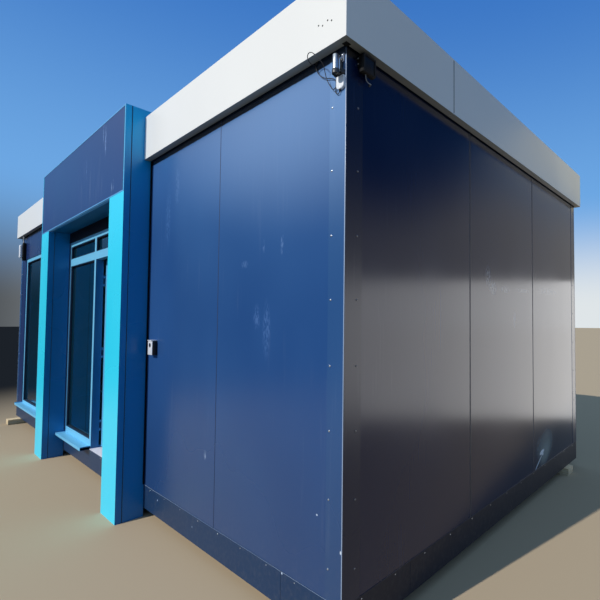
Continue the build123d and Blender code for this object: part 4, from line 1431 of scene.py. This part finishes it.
@dataclass
class RoofEdge(Assembly):
    """The deep white roof edge and the flat roof inside it."""

    sheet: float = 0.003
    joint_from_front: float = 0.893
    strap: float = 0.06
    strap_sheet: float = 0.0015
    strap_margin: float = 0.006
    bead: Point = (0.001, 0.0035, 0.0007)
    mitre: float = 0.028
    mitre_lap: float = 0.004
    mitre_pair: Pair = (-0.0012, 0.001)
    rivets: Pairs = ((3.6589, 3.0656), (3.6893, 3.0517), (3.7268, 3.0621), (3.7552, 3.0489))
    rivet_radius: float = 0.0045
    fillet: float = 0.05
    lap_pitch: float = 1.05
    lap_inset: float = 0.055
    lap_width: float = 0.10
    lap_height: float = 0.0025

    def build(self) -> None:
        """Build and dress the roof edge and the roof."""
        coat(
            WHITE_FASCIA, "right_fascia", "rear_fascia", "left_fascia", "front_fascia_left",
            "front_fascia_right",
        )
        coat(ROOF, "roof_deck")
        self.seal_joints()
        self.fix_rivets()
        self.lay_roof()

    def seal_joints(self) -> None:
        """Put a strap behind each butt joint, a bead in those on the ends and sealant in the front mitres."""
        planes, sheet, half = self.planes, self.sheet, self.strap / 2
        low, high = planes.fascia_low + self.strap_margin, planes.fascia_top - self.strap_margin
        joint = planes.front + self.joint_from_front
        depth, reach, proud = self.bead
        size, lap = self.mitre, self.mitre_lap
        under, over = (planes.fascia_low + away for away in self.mitre_pair)
        straps, beads, notches = Shape(), Shape(), Shape()
        for side, wall in planes.ends:
            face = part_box("right_fascia")[1].x if side > 0 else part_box("left_fascia")[0].x
            back = face - side * sheet
            straps.slab(
                (back - side * self.strap_sheet, joint - half, low), (back, joint + half, high), edge=0.0
            )
            beads.slab(
                (face - side * depth, joint - reach, low), (face + side * proud, joint + reach, high),
                edge=0.0003, steps=1,
            )
            notches.slab(
                (wall - side * lap, planes.front - size, under),
                (wall + side * size, planes.front + lap, over), edge=0.0004, steps=1,
            )
        rear_low, rear_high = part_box("rear_fascia")
        width, face = rear_high.x - rear_low.x, rear_high.y - sheet
        for place in (1, 2):
            middle = rear_high.x - width * place / 3
            straps.slab((middle - half, face - self.strap_sheet, low), (middle + half, face, high), edge=0.0)
        straps.piece("fascia_joint_straps", BLACK_COAT)
        beads.piece("fascia_joint_sealant", AGED_SEAL)
        notches.piece("fascia_mitre_sealant", BLACK_COAT)

    def fix_rivets(self) -> None:
        """Put in the four rivets near the corner."""
        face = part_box("front_fascia_right")[0].y
        seats = [((across, face, level), (0, -1, 0)) for across, level in self.rivets]
        self.repeater.fixings("fascia_rivets", Head.BLIND_RIVET, self.rivet_radius, seats, BLACK_COAT)

    def lay_roof(self) -> None:
        """Lay the membrane's laps across the roof and its fillet along the upstand."""
        (left, front, _), (right, rear, top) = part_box("roof_deck")
        planes, size, inset, pitch = self.planes, self.fillet, self.lap_inset, self.lap_pitch
        fillet = Shape()
        for start, end, wall, side in (
            (left, planes.portal_left, front, 1),
            (planes.portal_right, right, front, 1),
            (planes.portal_left, planes.portal_right, planes.front, 1),
            (left, right, rear, -1),
        ):
            outline = [(start, wall, top), (start, wall + side * size, top), (start, wall, top + size)]
            fillet.prism(outline, (end - start, 0, 0))
        for wall, side in ((left, 1), (right, -1)):
            outline = [(wall, front, top), (wall + side * size, front, top), (wall, front, top + size)]
            fillet.prism(outline, (0, rear - front, 0))
        fillet.piece("roof_edge_fillet", ROOF)
        half, wide = (rear - planes.front) / 2 - inset, self.lap_width / 2
        lap = Shape().slab((-wide, -half, 0.0), (wide, half, self.lap_height), edge=0.001, steps=1)
        middle = (rear + planes.front) / 2
        count = int((right - left) / pitch)
        first = (left + right) / 2 - (count - 1) * pitch / 2
        seats = [((first + place * pitch, middle, top), (0, 0, 1)) for place in range(count)]
        self.repeater.place("roof_membrane_laps", lap, seats, ROOF)


@dataclass
class Portal(Assembly):
    """The entrance portal: two cyan columns, a navy head between them and the lid behind."""

    trim: float = 0.010
    trim_proud: float = 0.0015
    drip_pair: Pair = (0.004, 0.03)
    drip_height: float = 0.006
    outer_seam: float = 0.048
    inner_seam: float = 0.058
    end_gap: float = 0.002
    gasket_pair: Pair = (-0.004, 0.002)
    gasket_proud: float = 0.0012
    edge_pair: Pair = (0.002, 0.0055)
    edge_proud: float = 0.0022
    foam: float = 0.018

    def build(self) -> None:
        """Build and dress the portal."""
        coat(SKY_CLADDING, "portal_right_column", "portal_left_column")
        coat(NAVY_CLADDING, "portal_header", "portal_cap")
        coat(SOFFIT_CLADDING, "portal_soffit")
        self.trim_header()
        self.seam_sides()

    def trim_header(self) -> None:
        """Edge the header's front with slim pressed trims, which catch the light, and a drip strip."""
        planes, face = self.planes, self.planes.portal_front
        low = (planes.portal_left, face - self.trim_proud, planes.soffit)
        high = (planes.portal_right, face, planes.portal_head)
        Shape().surround(low, high, self.trim, edge=0.0006).piece("header_edge_trims", TRIM_BLUE)
        front, back = (face + away for away in self.drip_pair)
        low = (planes.bay_left, front, planes.soffit - self.drip_height)
        Shape().slab(low, (planes.bay_right, back, planes.soffit)).piece("header_drip_strip", TRIM_BLUE)

    def seam_sides(self) -> None:
        """Add the upright joints in the columns' sides, and a black strip beside each column on the wall, a
        painted shadow.
        """
        planes, foot = self.planes, self.end_gap
        seams, edges, foam = Shape(), Shape(), Shape()
        for face, side, setback, head in (
            (planes.portal_right, 1, self.outer_seam, planes.portal_head),
            (planes.bay_left, 1, self.inner_seam, planes.soffit),
            (planes.portal_left, -1, self.outer_seam, planes.portal_head),
            (planes.bay_right, -1, self.inner_seam, planes.soffit),
        ):
            middle, top = planes.portal_front + setback, head - self.end_gap
            for shape, pair, proud, edge, steps in (
                (seams, self.gasket_pair, self.gasket_proud, 0.0004, 1),
                (edges, self.edge_pair, self.edge_proud, 0.0007, 2),
            ):
                start, end = (middle + away for away in pair)
                shape.slab((face, start, foot), (face + side * proud, end, top), edge, steps)
        seams.piece("portal_side_gaskets", SEAM_BLUE)
        edges.piece("portal_side_edges", SKY_CLADDING)
        for face, side in ((planes.portal_right, 1), (planes.portal_left, -1)):
            foam.slab(
                (face, planes.front - self.foam / 2, planes.base_top),
                (face + side * self.foam, planes.front, planes.fascia_low),
                edge=0.003,
            )
        foam.piece("portal_foam_seals", SHADOW_STRIP)


@dataclass
class Glazed:
    """One glazed opening's beads and gaskets, on both faces of the glass."""

    name: str
    body: str
    finish: Finish
    bead: float = 0.009
    recess: float = 0.002
    gasket: float = 0.003
    lip: float = 0.0035

    def build(
        self, frame_pair: Pair, glass_pair: Pair, along: int, openings: Sequence[tuple[float, ...]]
    ) -> None:
        """Bead the openings.

        Args:
            frame_pair: the frame's two faces.
            glass_pair: the glass's two faces.
            along: 0 where the frame runs along X, 1 along Y.
            openings: start, end, low and high of each pane.
        """
        beads, gaskets = Shape(), Shape()
        for start, end, low, high in openings:
            for outer, face, side in (
                (frame_pair[0] + self.recess, glass_pair[0], -1),
                (frame_pair[1] - self.recess, glass_pair[1], 1),
            ):
                stop = face + side * self.gasket
                for shape, width, pair in (
                    (beads, self.bead, sorted((outer, stop))),
                    (gaskets, self.bead + self.lip, sorted((stop, face))),
                ):
                    corners = [[0.0, 0.0, low], [0.0, 0.0, high]]
                    corners[0][along], corners[1][along] = start, end
                    corners[0][1 - along], corners[1][1 - along] = pair
                    shape.surround(corners[0], corners[1], width)
        beads.piece(f"{self.name}_beads", self.finish, self.body)
        gaskets.piece(f"{self.name}_gaskets", GASKET, self.body)


@dataclass
class Sill:
    """A sill's folded end caps and the drip edge on its nose."""

    node: str
    cap: float = 0.004
    cap_proud: float = 0.001
    cap_drop: float = 0.024
    cap_rise: float = 0.010
    into_wall: float = 0.008
    drip: float = 0.002
    drip_levels: Pair = (0.028, 0.001)

    def build(self, wall: float) -> None:
        """Cap the sill and give its nose the drip edge.

        Args:
            wall: the wall's face.
        """
        low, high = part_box(self.node)
        left, right = low.x + self.cap, high.x - self.cap
        front, back, caps = low.y - self.cap_proud, wall + self.into_wall, Shape()
        for start, end in ((low.x, left), (right, high.x)):
            caps.slab((start, front, high.z - self.cap_drop), (end, back, high.z + self.cap_rise))
        foot, head = (high.z - drop for drop in self.drip_levels)
        caps.slab((left, low.y - self.drip, foot), (right, low.y, head), edge=0.0008)
        caps.piece(f"{self.node}_caps", FRAME_BLUE)


@dataclass
class Entrance(Assembly):
    """The glazed screen with its side pane, top lights, sill and threshold."""

    bar: float = 0.05
    frame_depth: float = 0.07
    lights_low: float = 2.328
    door_gap: float = 0.006
    rib_pitch: float = 0.0085
    rib_inset: float = 0.012
    rib_end: float = 0.005
    rib: Point = (0.0032, 0.0014, 0.0006)
    brush: float = 0.004
    brush_gap: float = 0.002
    brush_pair: Pair = (-0.014, -0.004)
    bead: float = 0.005
    bead_proud: float = 0.004
    bead_foot: float = 0.03

    def build(self) -> None:
        """Build and dress the entrance."""
        coat(FRAME_BLUE, "entrance_frame", "entrance_sill")
        coat(GLASS, "entrance_glass")
        coat(THRESHOLD, "door_threshold")
        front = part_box("entrance_frame")[0].y
        back = front + self.frame_depth
        glass_low, glass_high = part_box("entrance_glass")
        left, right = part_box("door_threshold")[0].x, self.planes.bay_right - self.bar
        pane_left, pane_right = self.planes.bay_left + self.bar, left - self.bar
        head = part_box("door_leaf")[1].z + self.door_gap
        openings = (
            (pane_left, pane_right, glass_low.z, head),
            (pane_left, pane_right, self.lights_low, glass_high.z),
            (left, right, self.lights_low, glass_high.z),
        )
        Glazed("entrance", "cabin", BEAD).build((front, back), (glass_low.y, glass_high.y), 0, openings)
        Sill("entrance_sill").build(self.planes.front)
        self.rib_threshold(right)
        self.seal_doorway(left, right, back, head)
        self.seal_frame()

    def rib_threshold(self, right: float) -> None:
        """Cover the threshold with fine ribs along it.

        Args:
            right: the doorway's right side.
        """
        low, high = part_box("door_threshold")
        width, height, edge = self.rib
        half = (right - low.x) / 2 - self.rib_end
        rib = Shape().slab((-half, -width / 2, 0.0), (half, width / 2, height), edge=edge, steps=1)
        middle, first = low.x + self.rib_end + half, low.y + self.rib_inset
        count = int((high.y - low.y - 2 * self.rib_inset) / self.rib_pitch)
        seats = [((middle, first + place * self.rib_pitch, high.z), (0, 0, 1)) for place in range(count)]
        self.repeater.place("threshold_ribs", rib, seats, THRESHOLD)

    def seal_doorway(self, left: float, right: float, back: float, head: float) -> None:
        """Fit the black brush seal round the inside of the doorway.

        Args:
            left: the doorway's left side.
            right: its right side.
            back: the frame's inside face.
            head: the doorway's upper edge.
        """
        floor, width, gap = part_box("door_threshold")[1].z, self.brush, self.brush_gap
        near, far = (back + away for away in self.brush_pair)
        seal = Shape().slab((right - width, near, floor + gap), (right, far, head - gap))
        seal.slab((left, near, head - width), (right - width, far, head))
        seal.piece("doorway_seal", GASKET)

    def seal_frame(self) -> None:
        """Run sealant up both sides of the frame."""
        low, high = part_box("entrance_frame")
        front, foot = low.y - self.bead_proud, low.z + self.bead_foot
        bead = Shape()
        for face, side in ((self.planes.bay_left, 1), (self.planes.bay_right, -1)):
            bead.slab((face, front, foot), (face + side * self.bead, low.y, high.z), edge=0.0015)
        bead.piece("entrance_sealant", DARK_SEAL)


@dataclass
class Door(Assembly):
    """The glazed door leaf with its beads, lock, pull handle and hinges."""

    stile: float = 0.09
    bottom_rail: float = 0.15
    lock_level: float = 0.95
    lock_plate: Point = (0.011, 0.0015, 0.12)
    lock_drop: float = 0.14
    escutcheon: Pairs = ((0.0, 0.026), (0.006, 0.026), (0.009, 0.023), (0.009, 0.009), (0.012, 0.0085))
    sweep_pair: Pair = (0.012, 0.02)
    sweep_inset: float = 0.01
    sweep_drop: float = 0.0025
    bar_radius: float = 0.012
    bar_tip: Pairs = ((0.0, 1.0), (0.002, 0.96), (0.0045, 0.7), (0.0055, 0.0))
    post_reach: float = 0.2
    rose: Pairs = ((0.0, 0.016), (0.003, 0.016), (0.005, 0.013))

    def build(self) -> None:
        """Build and dress the door."""
        coat(DOOR_BLUE, "door_leaf")
        coat(GLASS, "door_glass")
        coat(STEEL, "door_handle")
        coat(HINGE_SHADE, "door_hinges")
        low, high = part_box("door_leaf")
        glass_low, glass_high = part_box("door_glass")
        opening = (low.y + self.stile, high.y - self.stile, low.z + self.bottom_rail, high.z - self.stile)
        Glazed("door", "door", DOOR_BLUE).build((low.x, high.x), (glass_low.x, glass_high.x), 1, [opening])
        self.fit_lock()
        self.fit_handle()

    def fit_lock(self) -> None:
        """Fit the lock's face plate on the leaf's edge, the escutcheons on its faces and the bottom seal."""
        low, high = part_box("door_leaf")
        middle, across = (low.x + high.x) / 2, high.y - self.stile / 2
        wide, thick, tall = self.lock_plate
        level, inset = self.lock_level, self.sweep_inset
        plates = Shape()
        plates.slab(
            (middle - wide, high.y, level - tall), (middle + wide, high.y + thick, level + tall), edge=0.0006
        )
        for face, side in ((high.x, 1), (low.x, -1)):
            plates.turned(self.escutcheon, (face, across, level - self.lock_drop), (side, 0, 0), 28)
        plates.piece("door_lock_plates", STEEL, "door")
        near, far = (low.x + away for away in self.sweep_pair)
        sweep = Shape()
        sweep.slab((near, low.y + inset, low.z - self.sweep_drop), (far, high.y - inset, low.z), edge=0.0008)
        sweep.piece("door_bottom_seal", GASKET, "door")

    def fit_handle(self) -> None:
        """Cap the pull bars and set a rose at the foot of each post."""
        low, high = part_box("door_handle")
        leaf_low, leaf_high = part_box("door_leaf")
        radius, across, middle = self.bar_radius, (low.y + high.y) / 2, (low.z + high.z) / 2
        tip = [(along, share * radius) for along, share in self.bar_tip]
        fittings = Shape()
        for face, bar, side in ((leaf_high.x, high.x - radius, 1), (leaf_low.x, low.x + radius, -1)):
            for end, level in ((-1, low.z), (1, high.z)):
                fittings.turned(tip, (bar, across, level), (0, 0, end), 24)
                fittings.turned(self.rose, (face, across, middle + end * self.post_reach), (side, 0, 0), 24)
        fittings.piece("door_handle_fittings", STEEL, "door")


@dataclass
class Window(Assembly):
    """The fixed two-light window beside the entrance."""

    bar: float = 0.05

    def build(self) -> None:
        """Build and dress the window."""
        coat(FRAME_BLUE, "window_frame", "window_sill")
        coat(GLASS, "window_glass")
        low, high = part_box("window_frame")
        glass_low, glass_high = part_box("window_glass")
        middle, half = (low.x + high.x) / 2, self.bar / 2
        openings = (
            (low.x + self.bar, middle - half, glass_low.z, glass_high.z),
            (middle + half, high.x - self.bar, glass_low.z, glass_high.z),
        )
        Glazed("window", "cabin", BEAD).build((low.y, high.y), (glass_low.y, glass_high.y), 0, openings)
        Sill("window_sill").build(self.planes.front)


@dataclass
class CornerCamera(Assembly):
    """The small security camera under the near corner of the roof edge, and the box beneath it."""

    trim_sheet: float = 0.002
    from_corner: float = 0.026
    reach: float = 0.043
    drop: float = 0.052
    length: float = 0.098
    barrel: Pairs = (
        (0.021, 0.016), (0.045, 0.016), (0.0455, 0.0154), (0.047, 0.0154), (0.0475, 0.016), (0.092, 0.016),
        (0.096, 0.013), (0.098, 0.008),
    )
    bezel: Pairs = (
        (0.006, 0.0155), (0.0005, 0.016), (0.0, 0.018), (0.001, 0.019), (0.021, 0.019), (0.023, 0.0175)
    )
    pane: Pairs = ((0.0045, 0.0154), (0.0062, 0.0154))
    lamps: int = 12
    lamp_ring: float = 0.0115
    lamp_depth: float = 0.0046
    lens_dome: Pairs = ((0.0046, 0.0075), (0.0025, 0.0065), (0.0012, 0.004), (0.0008, 0.0))
    base_start: float = 0.006
    base: Point = (0.060, 0.022, 0.026)
    base_drop: float = 0.112
    strap_span: Pair = (0.027, 0.013)
    strap_depth: float = 0.012
    strap_drop: float = 0.055
    neck: Pairs = ((0.0, 0.009), (0.004, 0.009), (0.006, 0.007), (0.03, 0.007))
    neck_start: float = 0.02
    plate_span: Pair = (0.024, 0.002)
    plate_sheet: float = 0.006
    plate_drop: float = 0.030
    plate_height: float = 0.044
    plate_screw_away: float = 0.014
    plate_screws: tuple[float, ...] = (0.008, 0.042)
    box_round: float = 0.016
    box_top_round: float = 0.003
    box_depth: float = 0.0095
    lid_start: float = 0.0102
    lid_depth: float = 0.0038
    box_screws: Pairs = ((0.007, 0.008), (0.044, 0.008), (0.0255, 0.056))
    gland: Pairs = ((0.0, 0.0052), (0.004, 0.0052), (0.0045, 0.0044), (0.009, 0.0034))
    gland_places: tuple[Point, ...] = ((-0.036, -0.009, -0.205), (-0.0595, -0.007, -0.138))

    def build(self) -> None:
        """Build the camera, its bracket and the junction box."""
        self.turn_barrel()
        self.build_bracket()
        self.build_box()

    @property
    def foot(self) -> Vector:
        """Give the middle of the barrel's lower end."""
        across, away = self.planes.right - self.from_corner, self.face - self.reach
        return Vector((across, away, self.planes.fascia_low - self.drop - self.length))

    @property
    def face(self) -> float:
        """Give the corner trim's face."""
        return self.planes.front - self.trim_sheet

    def turn_barrel(self) -> None:
        """Turn the barrel, its bezel, its window and the ring of lamps behind it."""
        foot, up = self.foot, (0, 0, 1)
        barrel = Shape().turned(self.barrel, foot, up, 40)
        barrel.piece("camera_barrel", CAMERA_METAL, stands_for=["security_camera"])
        Shape().turned(self.bezel, foot, up, 40).piece("camera_bezel", BEZEL)
        window = Shape().turned(self.pane, foot, up, 32).turned(self.lens_dome, foot, up, 24)
        window.piece("camera_window", LENS)
        seats = []
        for place in range(self.lamps):
            angle = math.tau * place / self.lamps
            away = (self.lamp_ring * math.cos(angle), self.lamp_ring * math.sin(angle), self.lamp_depth)
            seats.append((foot + Vector(away), (0, 0, -1)))
        self.repeater.fixings("camera_lamp_ring", Head.CAP_SCREW, 0.0016, seats, BEZEL)

    def build_bracket(self) -> None:
        """Build the base block, the neck with its joint, the strap and the plate above."""
        edge, right, face = self.planes.fascia_low, self.planes.right - self.base_start, self.face
        width, depth, height = self.base
        high = edge - self.base_drop
        low = high - height
        base = Shape().slab((right - width, face - depth, low), (right, face, high), edge=0.004, steps=3)
        start, end = (right - away for away in self.strap_span)
        base.slab((start, face - self.strap_depth, high), (end, face, edge - self.strap_drop), edge=0.002)
        base.piece("camera_base", BEZEL)
        joint = (self.foot.x, face - self.neck_start, (low + high) / 2)
        Shape().turned(self.neck, joint, (0, -1, 0), 24).piece("camera_neck", CAMERA_METAL)
        start, end = (right - away for away in self.plate_span)
        top, front = edge - self.plate_drop, face - self.plate_sheet
        plate = Shape().slab((start, front, top - self.plate_height), (end, face, top), edge=0.0015)
        plate.piece("camera_plate", BRACKET_COAT)
        middle = right - self.plate_screw_away
        seats = [((middle, front, top - drop), (0, -1, 0)) for drop in self.plate_screws]
        self.repeater.fixings("camera_plate_screws", Head.PAN_SCREW, 0.003, seats, FIXING)

    def build_box(self) -> None:
        """Build the junction box with its lid, screws and cable entries."""
        (low, high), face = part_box("junction_box"), self.face
        large, small = self.box_round, self.box_top_round
        outline = []
        for middle_x, middle_z, radius, start in (
            (high.x - large, low.z + large, large, -90),
            (high.x - small, high.z - small, small, 0),
            (low.x + small, high.z - small, small, 90),
            (low.x + large, low.z + large, large, 180),
        ):
            for step in range(7):
                angle = math.radians(start + 15 * step)
                outline.append((middle_x + radius * math.cos(angle), middle_z + radius * math.sin(angle)))
        box, lid, glands = Shape(), Shape(), Shape()
        box.prism([(x, face, z) for x, z in outline], (0, -self.box_depth, 0), edge=0.0006)
        box.piece("junction_box_body", WHITE_PLASTIC, "cabin", ["junction_box"])
        front = face - self.lid_start
        lid.prism([(x, front, z) for x, z in outline], (0, -self.lid_depth, 0), edge=0.0012, steps=2)
        lid.piece("junction_box_lid", WHITE_PLASTIC)
        seats = [((low.x + across, low.y, high.z - drop), (0, -1, 0)) for across, drop in self.box_screws]
        self.repeater.fixings("junction_box_screws", Head.PAN_SCREW, 0.0028, seats, FIXING)
        corner = self.planes.edge_corner
        for away in self.gland_places:
            glands.turned(self.gland, corner + Vector(away), (0, 0, -1), 18)
        glands.piece("cable_glands", SHEATH)


@dataclass
class Floodlight(Assembly):
    """The small floodlight on the end wall, with its fins, bracket and lead gland."""

    standoff: float = 0.012
    rim: float = 0.006
    rim_width: float = 0.009
    rim_inset: float = 0.001
    back_gap: float = 0.004
    bracket_near: Pair = (0.004, 0.056)
    bracket_far: Pair = (0.032, 0.004)
    bracket_proud: float = 0.006
    pane_inset: float = 0.010
    pane_sheet: float = 0.003
    fin: Point = (0.0012, 0.040, 0.004)
    fins: int = 7
    fin_start: float = 0.042
    fin_pitch: float = 0.0075
    fin_inset: float = 0.001
    bolt_radius: float = 0.004
    bolt_away: float = 0.006
    bolt_drops: Pair = (0.016, 0.044)
    nut: Pairs = ((0.0, 0.007), (0.003, 0.007), (0.0035, 0.006), (0.005, 0.0045))

    def build(self) -> None:
        """Build the floodlight."""
        low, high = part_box("floodlight")
        back, front = low.x + self.standoff, high.x - self.rim
        (near, drop), (far, lift) = self.bracket_near, self.bracket_far
        rear = back + self.back_gap
        body = Shape().slab((rear, low.y, low.z), (front, high.y, high.z), edge=0.005, steps=3)
        proud = back + self.bracket_proud
        body.slab((low.x, low.y + near, high.z - drop), (proud, low.y + far, high.z - lift), edge=0.002)
        inset = self.rim_inset
        body.surround(
            (front, low.y + inset, low.z + inset), (high.x, high.y - inset, high.z - inset), self.rim_width,
            edge=0.0012,
        )
        body.piece("floodlight_body", BLACK_COAT, "cabin", ["floodlight"])
        inset = self.pane_inset
        pane = Shape().slab(
            (front, low.y + inset, low.z + inset), (front + self.pane_sheet, high.y - inset, high.z - inset),
            edge=0.0008,
        )
        pane.piece("floodlight_window", FLOOD_GLASS)
        fin = Shape().slab([-size for size in self.fin], self.fin, edge=0.0008, steps=1)
        first, middle = low.y + self.fin_start, (low.z + high.z) / 2
        across, pitch = back + self.fin_inset, self.fin_pitch
        seats = [((across, first + place * pitch, middle), (1, 0, 0)) for place in range(self.fins)]
        self.repeater.place("floodlight_fins", fin, seats, BLACK_COAT)
        across = low.x + self.bolt_away
        seats = [((across, low.y + near, high.z - level), (0, -1, 0)) for level in self.bolt_drops]
        self.repeater.fixings("floodlight_bolts", Head.CAP_SCREW, self.bolt_radius, seats, FIXING)
        low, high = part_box("lead_gland")
        gland = Shape().turned(self.nut, (low.x, (low.y + high.y) / 2, (low.z + high.z) / 2), (1, 0, 0), 20)
        gland.piece("lead_gland_nut", SHEATH, "cabin", ["lead_gland"])


@dataclass
class CornerLamp(Assembly):
    """The lamp near the far left corner: black housing, white tube and a conduit to the roof edge."""

    drop: float = 0.112
    housing: Point = (0.070, 0.043, 0.275)
    tube_end: Pairs = ((0.0, 0.016), (0.004, 0.0198), (0.012, 0.021))
    tube_length: float = 0.2
    tube_away: float = 0.062
    tube_rise: float = 0.0375
    conduit_away: float = 0.030
    conduit_radius: float = 0.009
    collar: Pairs = ((0.0, 0.013), (0.012, 0.013), (0.014, 0.010))
    clip_levels: Pair = (0.06, 0.074)
    foot: Pair = (0.024, 0.003)
    bow: Point = (0.012, 0.042, 0.0385)
    cheek_across: Pair = (0.0095, 0.0125)
    cheek_away: Pair = (0.0405, 0.001)

    def build(self) -> None:
        """Build the lamp."""
        low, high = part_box("corner_lamp")
        middle = (low.x + high.x) / 2
        front, top = self.planes.front, self.planes.fascia_low - self.drop
        width, depth, height = self.housing
        bottom = top - height
        corners = (middle - width / 2, front - depth, bottom), (middle + width / 2, front, top)
        housing = Shape().slab(*corners, edge=0.006, steps=3)
        housing.piece("lamp_housing", BLACK_COAT, "cabin", ["corner_lamp"])
        far_end = [(self.tube_length - along, wide) for along, wide in reversed(self.tube_end)]
        foot = (middle, front - self.tube_away, bottom + self.tube_rise)
        tube = Shape().turned([*self.tube_end, *far_end], foot, (0, 0, 1), 36)
        tube.piece("lamp_tube", WHITE_PLASTIC)
        start, up = (middle, front - self.conduit_away, top), (0, 0, 1)
        pipe = [(0.0, self.conduit_radius), (self.drop, self.conduit_radius)]
        conduit = Shape().turned(pipe, start, up, 20).turned(self.collar, start, up, 20)
        conduit.piece("lamp_conduit", PALE_SHEATH)
        self.clip_conduit(middle, top)

    def clip_conduit(self, middle: float, top: float) -> None:
        """Hold the conduit to the wall with a clip.

        Args:
            middle: the conduit's middle along the wall.
            top: the housing's upper end.
        """
        front, clip = self.planes.front, Shape()
        low, high = (top + level for level in self.clip_levels)
        across, away = self.foot
        clip.slab((middle - across, front - away, low), (middle + across, front, high), edge=0.0008)
        across, far, near = self.bow
        clip.slab((middle - across, front - far, low), (middle + across, front - near, high))
        far, near = self.cheek_away
        for side in (-1, 1):
            start, end = (middle + side * across for across in self.cheek_across)
            clip.slab((start, front - far, low), (end, front - near, high), edge=0.0008)
        clip.piece("lamp_conduit_clip", PALE_SHEATH)


@dataclass
class AccessReader(Assembly):
    """The access reader beside the portal: black body, pale face and one round black window."""

    depth: float = 0.040
    hood: float = 0.006
    hood_lap: float = 0.001
    body_gap: float = 0.004
    margin: float = 0.002
    face_depth: float = 0.005
    window_level: float = 1.402
    window: Pairs = (
        (0.0, 0.0175), (0.0015, 0.0175), (0.002, 0.016), (0.001, 0.014), (0.0016, 0.008), (0.002, 0.0)
    )

    def build(self) -> None:
        """Build the reader."""
        low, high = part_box("access_reader")
        wall, hood, margin = self.planes.front, self.hood, self.margin
        top, front = high.z - hood, wall - self.depth
        body = Shape().slab((low.x, front + self.body_gap, low.z), (high.x, wall, top), edge=0.005, steps=3)
        body.piece("reader_body", READER_BLACK, "cabin", ["access_reader"])
        face = Shape().slab(
            (low.x + margin, front, low.z + margin), (high.x - margin, front + self.face_depth, top - margin),
            edge=0.0022, steps=3,
        )
        foot = top - self.hood_lap
        face.slab((low.x + hood, front - hood, foot), (high.x - hood, wall, high.z), edge=0.002)
        face.piece("reader_face", READER_WHITE)
        centre = ((low.x + high.x) / 2, front, self.window_level)
        Shape().turned(self.window, centre, (0, -1, 0), 36).piece("reader_window", READER_BLACK)


@dataclass
class Bearers(Assembly):
    """The sawn timbers that the cabin stands on."""

    edge: float = 0.003

    def build(self) -> None:
        """Build the timbers over the model's own, each with its grain lengthwise."""
        shape = Shape()
        grain = shape.mesh.verts.layers.float_vector.new("grain")
        for low, high in self.blocks():
            before = set(shape.mesh.verts)
            shape.slab(low, high, self.edge)
            lengthwise = high.y - low.y > high.x - low.x
            for vert in set(shape.mesh.verts) - before:
                vert[grain] = vert.co.yxz if lengthwise else vert.co
        shape.piece("sawn_bearers", TIMBER, stands_for=["timber_bearers"])

    def blocks(self) -> list[Box]:
        """Read the separate timbers' boxes from the model's mesh.

        Returns:
            The lowest and the highest corner of each timber.
        """
        work = bmesh.new()
        work.from_mesh(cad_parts["timber_bearers"].data)
        bmesh.ops.remove_doubles(work, verts=work.verts[:], dist=1e-5)
        left, boxes = set(work.verts), []
        while left:
            found, edge = set(), [left.pop()]
            while edge:
                vert = edge.pop()
                found.add(vert)
                for side in vert.link_edges:
                    other = side.other_vert(vert)
                    if other in left:
                        left.discard(other)
                        edge.append(other)
            spots = list(zip(*(vert.co for vert in found)))
            boxes.append((Vector([min(spot) for spot in spots]), Vector([max(spot) for spot in spots])))
        work.free()
        return sorted(boxes, key=lambda box: tuple(box[0]))


def main() -> None:
    """Build the whole scene, the camera and the cables first."""
    logging.basicConfig(level=logging.INFO, format="%(name)s: %(message)s")
    planes = Planes()
    Viewpoint().build()
    for cable in CABLES:
        cable.build(planes)
    Studio().build()
    repeater = Repeater()
    for kind in (
        Walls, RoofEdge, Portal, Entrance, Door, Window, CornerCamera, Floodlight, CornerLamp, AccessReader,
        Bearers,
    ):
        kind(planes, repeater).build()


if __name__ == "__main__":
    main()
